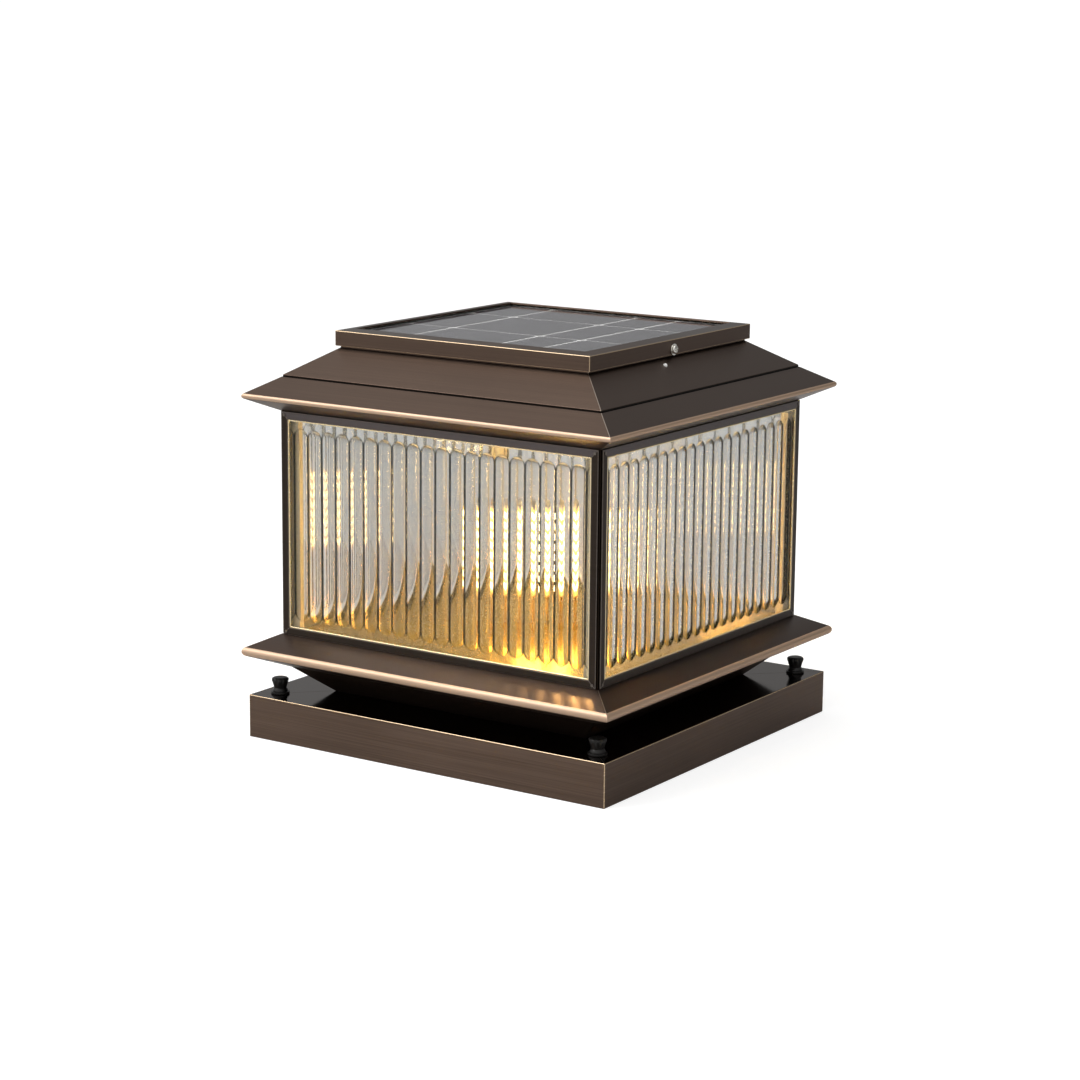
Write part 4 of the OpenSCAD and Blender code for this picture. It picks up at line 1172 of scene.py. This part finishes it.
@dataclass
class SolarCap:
    """The cap that lifts off: folded frame, clear cover and cells."""

    half: float = 104.2
    bottom: float = 275.5
    edge: float = 286.0
    top: float = 287.2
    lip: float = 10.4
    edge_reach: float = 2
    hole_radius: float = 1.6
    hole_length: float = 5
    cover_half: float = 99.5
    cover_low: float = 284.12
    cover_high: float = 285.09
    cell_low: float = 283.69
    cell_high: float = 284.09
    cell_gap: float = 3.4
    cell_clip: float = 1.6
    cell_columns: tuple[float, ...] = (-93.4, -55.0, 18.0, 52.0, 93.4)
    cell_rows: tuple[float, ...] = (-93.4, -34.0, 40.0, 93.4)

    def frame(self) -> Object:
        """Models the mitred frame with its sloped lip."""
        line = [(self.half, self.bottom), (self.half, self.edge), (self.half - self.lip, self.top)]
        piece = ring("cap_frame", folded(line))
        dress(piece, Finish.BRONZE, Finish.EDGE)
        # The rounded edges take the painted edge highlight; the edges of the inner lip are put back to the
        # plain bronze.
        soften(piece, 0.4, segments=3, angle=30, edge_slot=EDGED)
        mark(piece, PLAIN, lambda face: reach(face) < (self.half - self.edge_reach) * MM)
        for angle in (0, math.pi):
            hole = rod(self.hole_radius, self.hole_length, (self.half, 0, SCREW_AXIS), tilt=math.pi / 2)
            cut(piece, turn(hole, angle))
        return smooth(piece)

    def cover(self) -> Object:
        """Models the clear cover, just free of the cells."""
        half = self.cover_half
        piece = block("panel_cover", (-half, -half, self.cover_low), (half, half, self.cover_high))
        return smooth(soften(dress(piece, Finish.COVER), 0.2))

    def cells(self) -> Object:
        """Models the cells, with clipped corners and light lines between them."""
        gap = self.cell_gap / 2
        pieces = []
        for x0, x1 in zip(self.cell_columns, self.cell_columns[1:]):
            for y0, y1 in zip(self.cell_rows, self.cell_rows[1:]):
                cell = block("cell", (x0 + gap, y0 + gap, self.cell_low),
                             (x1 - gap, y1 - gap, self.cell_high))
                edit(cell, "EDGE")
                pick(cell, "EDGE", lambda edge: abs(edge.verts[0].co.z - edge.verts[1].co.z) > NEAR * MM)
                bpy.ops.mesh.bevel(offset=self.cell_clip * MM, segments=1)
                bpy.ops.object.mode_set(mode="OBJECT")
                pieces.append(cell)
        return dress(join("panel_cells", pieces), Finish.CELLS)

    def build(self) -> None:
        """Builds the cap."""
        set_in(self.cells(), "solar_cap", "solar_cells")
        set_in(self.frame(), "solar_cap", "solar_frame")
        set_in(self.cover(), "solar_cap", "solar_cover")


@dataclass
class Post:
    """The corner posts: a dark core in the groove and gilt legs behind the glass."""

    core: float = 125.4
    outer: float = 130.6
    leg_end: float = 117.9
    leg_back: float = 124.8
    leg_front: float = 126.4
    boss: float = 122.2
    boss_radius: float = 3.6
    bore_radius: float = 1.6
    low: float = 73.3
    high: float = 231.2

    def model(self) -> Object:
        """Models the back right post."""
        core = block("post", (self.core, self.core, self.low), (self.outer, self.outer, self.high))
        dress(core, Finish.POST_LINER, Finish.POST)
        for low in ((self.leg_end, self.leg_back), (self.leg_back, self.leg_end)):
            weld(core, block("leg", (*low, self.low), (self.leg_front, self.leg_front, self.high)))
        place = (self.boss, self.boss, (self.low + self.high) / 2)
        tall = self.high - self.low
        weld(core, rod(self.boss_radius, tall, place))
        cut(core, rod(self.bore_radius, tall + 2 * SPARE, place))
        soften(core, angle=60)
        mark(core, EDGED, lambda face: reach(face) > (self.leg_front + NEAR) * MM)
        return smooth(core)

    def build(self) -> None:
        """Builds the four posts."""
        model = self.model()
        for corner in Corner:
            node = f"corner_post_{word_of(corner)}"
            set_in(turn(copy(model, f"{node}_made"), turn_of(corner)), "lantern", node)
        bpy.data.objects.remove(model)


@dataclass
class Lamp:
    """The turned foot that holds the diode column."""

    low: float = 74.3
    outline: tuple[Point, ...] = ((2, 0), (23, 0), (23, 3), (13.8, 4.5), (13.8, 18.6), (20.28, 20.6),
                                  (20.28, 23.6), (2, 23.6), (2, 0))

    def build(self) -> None:
        """Builds the foot."""
        piece = ring("lamp_foot_turned", [(r, self.low + z) for r, z in self.outline], 64)
        smooth(soften(dress(piece, Finish.FOOT), 0.4))
        set_in(piece, "lantern", "lamp_foot")


@dataclass
class ThumbNuts:
    """The grooved nuts that hold the base, and their washers."""

    washer_line: tuple[Point, ...] = (
        (3.06, 30.65), (6.5, 30.65), (6.5, 32.15), (3.06, 32.15), (3.06, 30.65))
    foot: float = 32.3
    profile: tuple[Point, ...] = ((5.25, 0), (5.25, 1), (4.4, 2.4), (4.7, 3.8), (5.5, 6.5), (5.95, 7.6),
                                  (6, 8.5), (5.7, 9.2), (5, 9.6), (3.6, 10))
    bore_radius: float = 3.06
    bore_depth: float = 7.4
    bore_length: float = 20
    grooves: int = 10
    groove_radius: float = 1.1
    groove_place: float = 6.385
    groove_middle: float = 41.3
    groove_length: float = 12

    def washer(self) -> Object:
        """Models one washer in the middle."""
        piece = ring("washer", self.washer_line, 48)
        return smooth(soften(dress(piece, Finish.NUT)))

    def nut(self) -> Object:
        """Models one nut in the middle, with its flared grip, grooves and blind bore."""
        piece = ring("nut", [(r, self.foot + z) for r, z in self.profile], 60, solid=True)
        tools = []
        for k in range(self.grooves):
            angle = 2 * math.pi * k / self.grooves
            x, y = self.groove_place * math.cos(angle), self.groove_place * math.sin(angle)
            tools.append(rod(self.groove_radius, self.groove_length, (x, y, self.groove_middle), sides=24))
        cut(piece, join("grooves", tools))
        bore_middle = self.foot + self.bore_depth - self.bore_length / 2
        cut(piece, rod(self.bore_radius, self.bore_length, (0, 0, bore_middle)))
        return smooth(soften(dress(piece, Finish.NUT), 0.18, angle=40))

    def build(self) -> None:
        """Builds the four nuts and washers."""
        signs = {Corner.BACK_RIGHT: (1, 1), Corner.BACK_LEFT: (-1, 1),
                 Corner.FRONT_LEFT: (-1, -1), Corner.FRONT_RIGHT: (1, -1)}
        for word, model in (("thumb_nut", self.nut()), ("nut_washer", self.washer())):
            for corner, (x, y) in signs.items():
                node = f"{word}_{word_of(corner)}"
                piece = shift(copy(model, f"{node}_made"), x * STUD_HALF, y * STUD_HALF, 0)
                set_in(piece, node, node)
            bpy.data.objects.remove(model)


@dataclass
class SideScrews:
    """The two screws with washers in the sides of the cap."""

    profile: tuple[Point, ...] = ((1.1, 96.8), (1.5, 97.4), (1.5, 105.1), (2.9, 105.1), (3, 105.3),
                                  (3, 105.9), (2.75, 106.35), (2.1, 106.65), (1.0, 106.8))
    recess_long: float = 1.8
    recess_wide: float = 0.4
    recess_low: float = 105.9
    recess_high: float = 108
    washer_line: tuple[Point, ...] = ((1.6, 104.35), (4, 104.35), (4, 104.95), (1.6, 104.95), (1.6, 104.35))

    def screw(self) -> Object:
        """Models a pan head with a cross recess and its shank, upright in the middle."""
        piece = ring("screw", self.profile, 40, solid=True)
        for x, y in ((self.recess_long, self.recess_wide), (self.recess_wide, self.recess_long)):
            cut(piece, block("recess", (-x, -y, self.recess_low), (x, y, self.recess_high)))
        return smooth(soften(dress(piece, Finish.SCREW), 0.12, angle=40))

    def washer(self) -> Object:
        """Models a washer, upright in the middle."""
        piece = ring("screw_washer", self.washer_line, 48)
        return smooth(soften(dress(piece, Finish.SCREW), 0.15))

    def build(self) -> None:
        """Builds both screws and both washers."""
        for word, model in (("cap_screw", self.screw()), ("screw_washer", self.washer())):
            for k, hand in enumerate(("right", "left")):
                node = f"{word}_{hand}"
                piece = turn(copy(model, f"{node}_made"), math.pi / 2, "Y")
                turn(shift(piece, 0, 0, SCREW_AXIS), k * math.pi)
                set_in(piece, node, node)
            bpy.data.objects.remove(model)


class CarriedOver:
    """CAD nodes that stay as they are and get a finish."""

    FINISHES = {
        Finish.STEEL: ("mounting_plate", "mounting_studs", "stud_spacers", "shell_rivets", "post_screws",
                       "roof_screws", "foot_screws", "battery_strap", "cap_nuts"),
        Finish.GOLD_SHEET: ("floor_plate",), Finish.WHITE: ("ceiling_plate",),
        Finish.RUBBER: ("pane_seals", "solar_gasket"), Finish.BEVEL_HIGHLIGHT_AND_RIVETS: ("frame_rivets",),
        Finish.ALUMINIUM: ("led_column",), Finish.BOARD: ("led_boards",), Finish.DIODE: ("led_chips",),
        Finish.PLASTIC: ("battery_cradle", "control_module", "junction_box", "solar_lead"),
        Finish.SLEEVE: ("battery_cells",), Finish.LEAD: ("inner_leads",),
        Finish.LENS: ("indicator_lens",), Finish.PANEL_BOARD: ("solar_board",),
    }

    def build(self, nodes: dict[str, Object]) -> None:
        """Dresses every CAD node that still shows.

        Args:
            nodes: The frame's nodes by name.
        """
        for name, node in nodes.items():
            if node.hide_render:
                continue
            found = [finish for finish, keys in self.FINISHES.items() if name.startswith(keys)]
            dress(node, found[0] if found else Finish.BRONZE)
            LOG.info("%s: carried over", name)


@dataclass
class Studio:
    """Pale floor, soft lamps, world and camera."""

    azimuth: float = 33.790
    elevation: float = 12.158
    roll: float = 0.554
    distance: float = 1.9793
    target_height: float = 0.12
    yaw: float = 0.0745
    pitch: float = 0.410
    lens: float = 93.12
    world_slope: Colour = (-0.15, -0.42, 0.35)
    world_level: float = 0.52
    world_least: float = 0.15
    floor_size: float = 140
    gleam_height: float = 0.2315
    gleam_power: float = 2.2

    def camera(self) -> None:
        """Sets the camera where the photograph was taken from."""
        az, el = math.radians(self.azimuth), math.radians(self.elevation)
        back = Vector((math.sin(az) * math.cos(el), -math.cos(az) * math.cos(el), math.sin(el)))
        right = Vector((math.cos(az), math.sin(az), 0))
        up = back.cross(right)
        place = Vector((0, 0, self.target_height)) + back * self.distance
        yaw = Matrix.Rotation(math.radians(self.yaw), 3, up)
        right, back = yaw @ right, yaw @ back
        pitch = Matrix.Rotation(math.radians(self.pitch), 3, right)
        up, back = pitch @ up, pitch @ back
        roll = Matrix.Rotation(math.radians(self.roll), 3, back)
        right, up = roll @ right, roll @ up
        data = bpy.data.cameras.new("Camera")
        data.lens = self.lens
        data.sensor_width = 36
        data.sensor_fit = "HORIZONTAL"
        data.clip_end = 500
        camera = bpy.data.objects.new("Camera", data)
        turned = Matrix((right, up, back)).transposed()
        camera.matrix_world = Matrix.Translation(place) @ turned.to_4x4()
        bpy.context.scene.collection.objects.link(camera)
        bpy.context.scene.camera = camera

    def lamp(self, name: str, place: Sequence[float], aim: Sequence[float], size: Point, power: float,
             colour: Colour = (1, 1, 1)) -> Object:
        """Hangs one soft box.

        Args:
            name: The lamp's name.
            place: Where it hangs, in metres.
            aim: The point it looks at.
            size: Width and height, in metres.
            power: Watts.
            colour: Light colour.

        Returns:
            The lamp.
        """
        data = bpy.data.lights.new(name, "AREA")
        data.shape = "RECTANGLE"
        data.size, data.size_y = size
        data.energy = power
        data.color = colour
        lamp = bpy.data.objects.new(name, data)
        lamp.location = place
        lamp.rotation_euler = (Vector(place) - Vector(aim)).to_track_quat("Z", "Y").to_euler()
        bpy.context.scene.collection.objects.link(lamp)
        return lamp

    def world(self) -> None:
        """White for the camera; for everything else bright at the front left and dim at the back."""
        world = bpy.data.worlds.new("Studio")
        bpy.context.scene.world = world
        world.use_nodes = True
        wiring = Wiring(world.node_tree)
        way = (wiring.add("ShaderNodeTexCoord"), "Generated")
        toward = wiring.add("ShaderNodeVectorMath", {0: way, 1: self.world_slope}, operation="DOT_PRODUCT")
        level = wiring.math("ADD", (toward, "Value"), self.world_level)
        seen = (wiring.add("ShaderNodeLightPath"), "Is Camera Ray")
        strength = wiring.blend(seen, wiring.math("MAXIMUM", level, self.world_least), 1.0)
        light = wiring.add("ShaderNodeBackground", {"Color": (1, 1, 1, 1), "Strength": strength})
        wiring.add("ShaderNodeOutputWorld", {"Surface": (light, 0)})

    def floor(self) -> None:
        """Lays the pale floor."""
        clear()
        bpy.ops.mesh.primitive_plane_add(size=self.floor_size)
        dress(named("floor"), Finish.FLOOR)

    def ceiling_gleam(self) -> None:
        """The diodes' mirror image in the ceiling, which draws a striped patch on the tray."""
        gleam = self.lamp("Gleam", (0, 0, self.gleam_height), (0, 0, 0), (0.03, 0.03), self.gleam_power,
                          (1.0, 0.66, 0.26))
        lit = bpy.data.collections.new("Gleam reaches")
        lit.objects.link(bpy.data.objects["tray_skirt"])
        gleam.light_linking.receiver_collection = lit

    def build(self) -> None:
        """Lights the studio."""
        self.world()
        self.floor()
        self.lamp("Key", (-1.1, -1.2, 1.85), (0, 0, 0.2), (1.0, 1.7), 26)
        self.lamp("Top", (0.3, -0.4, 2.3), (0, 0, 0.1), (1.2, 1.2), 8)
        self.ceiling_gleam()


def main() -> None:
    """Builds the lantern and the studio."""
    logging.basicConfig(level=logging.INFO, format="%(message)s")
    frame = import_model()
    bpy.context.scene.view_settings.view_transform = "Standard"
    studio = Studio()
    studio.camera()
    for part in (Base(), Shell(), Glazing(), Post(), Lamp(), SolarCap(), SideScrews(), ThumbNuts()):
        part.build()
    CarriedOver().build(frame["nodes"])
    studio.build()
    clear()


if __name__ == "__main__":
    main()
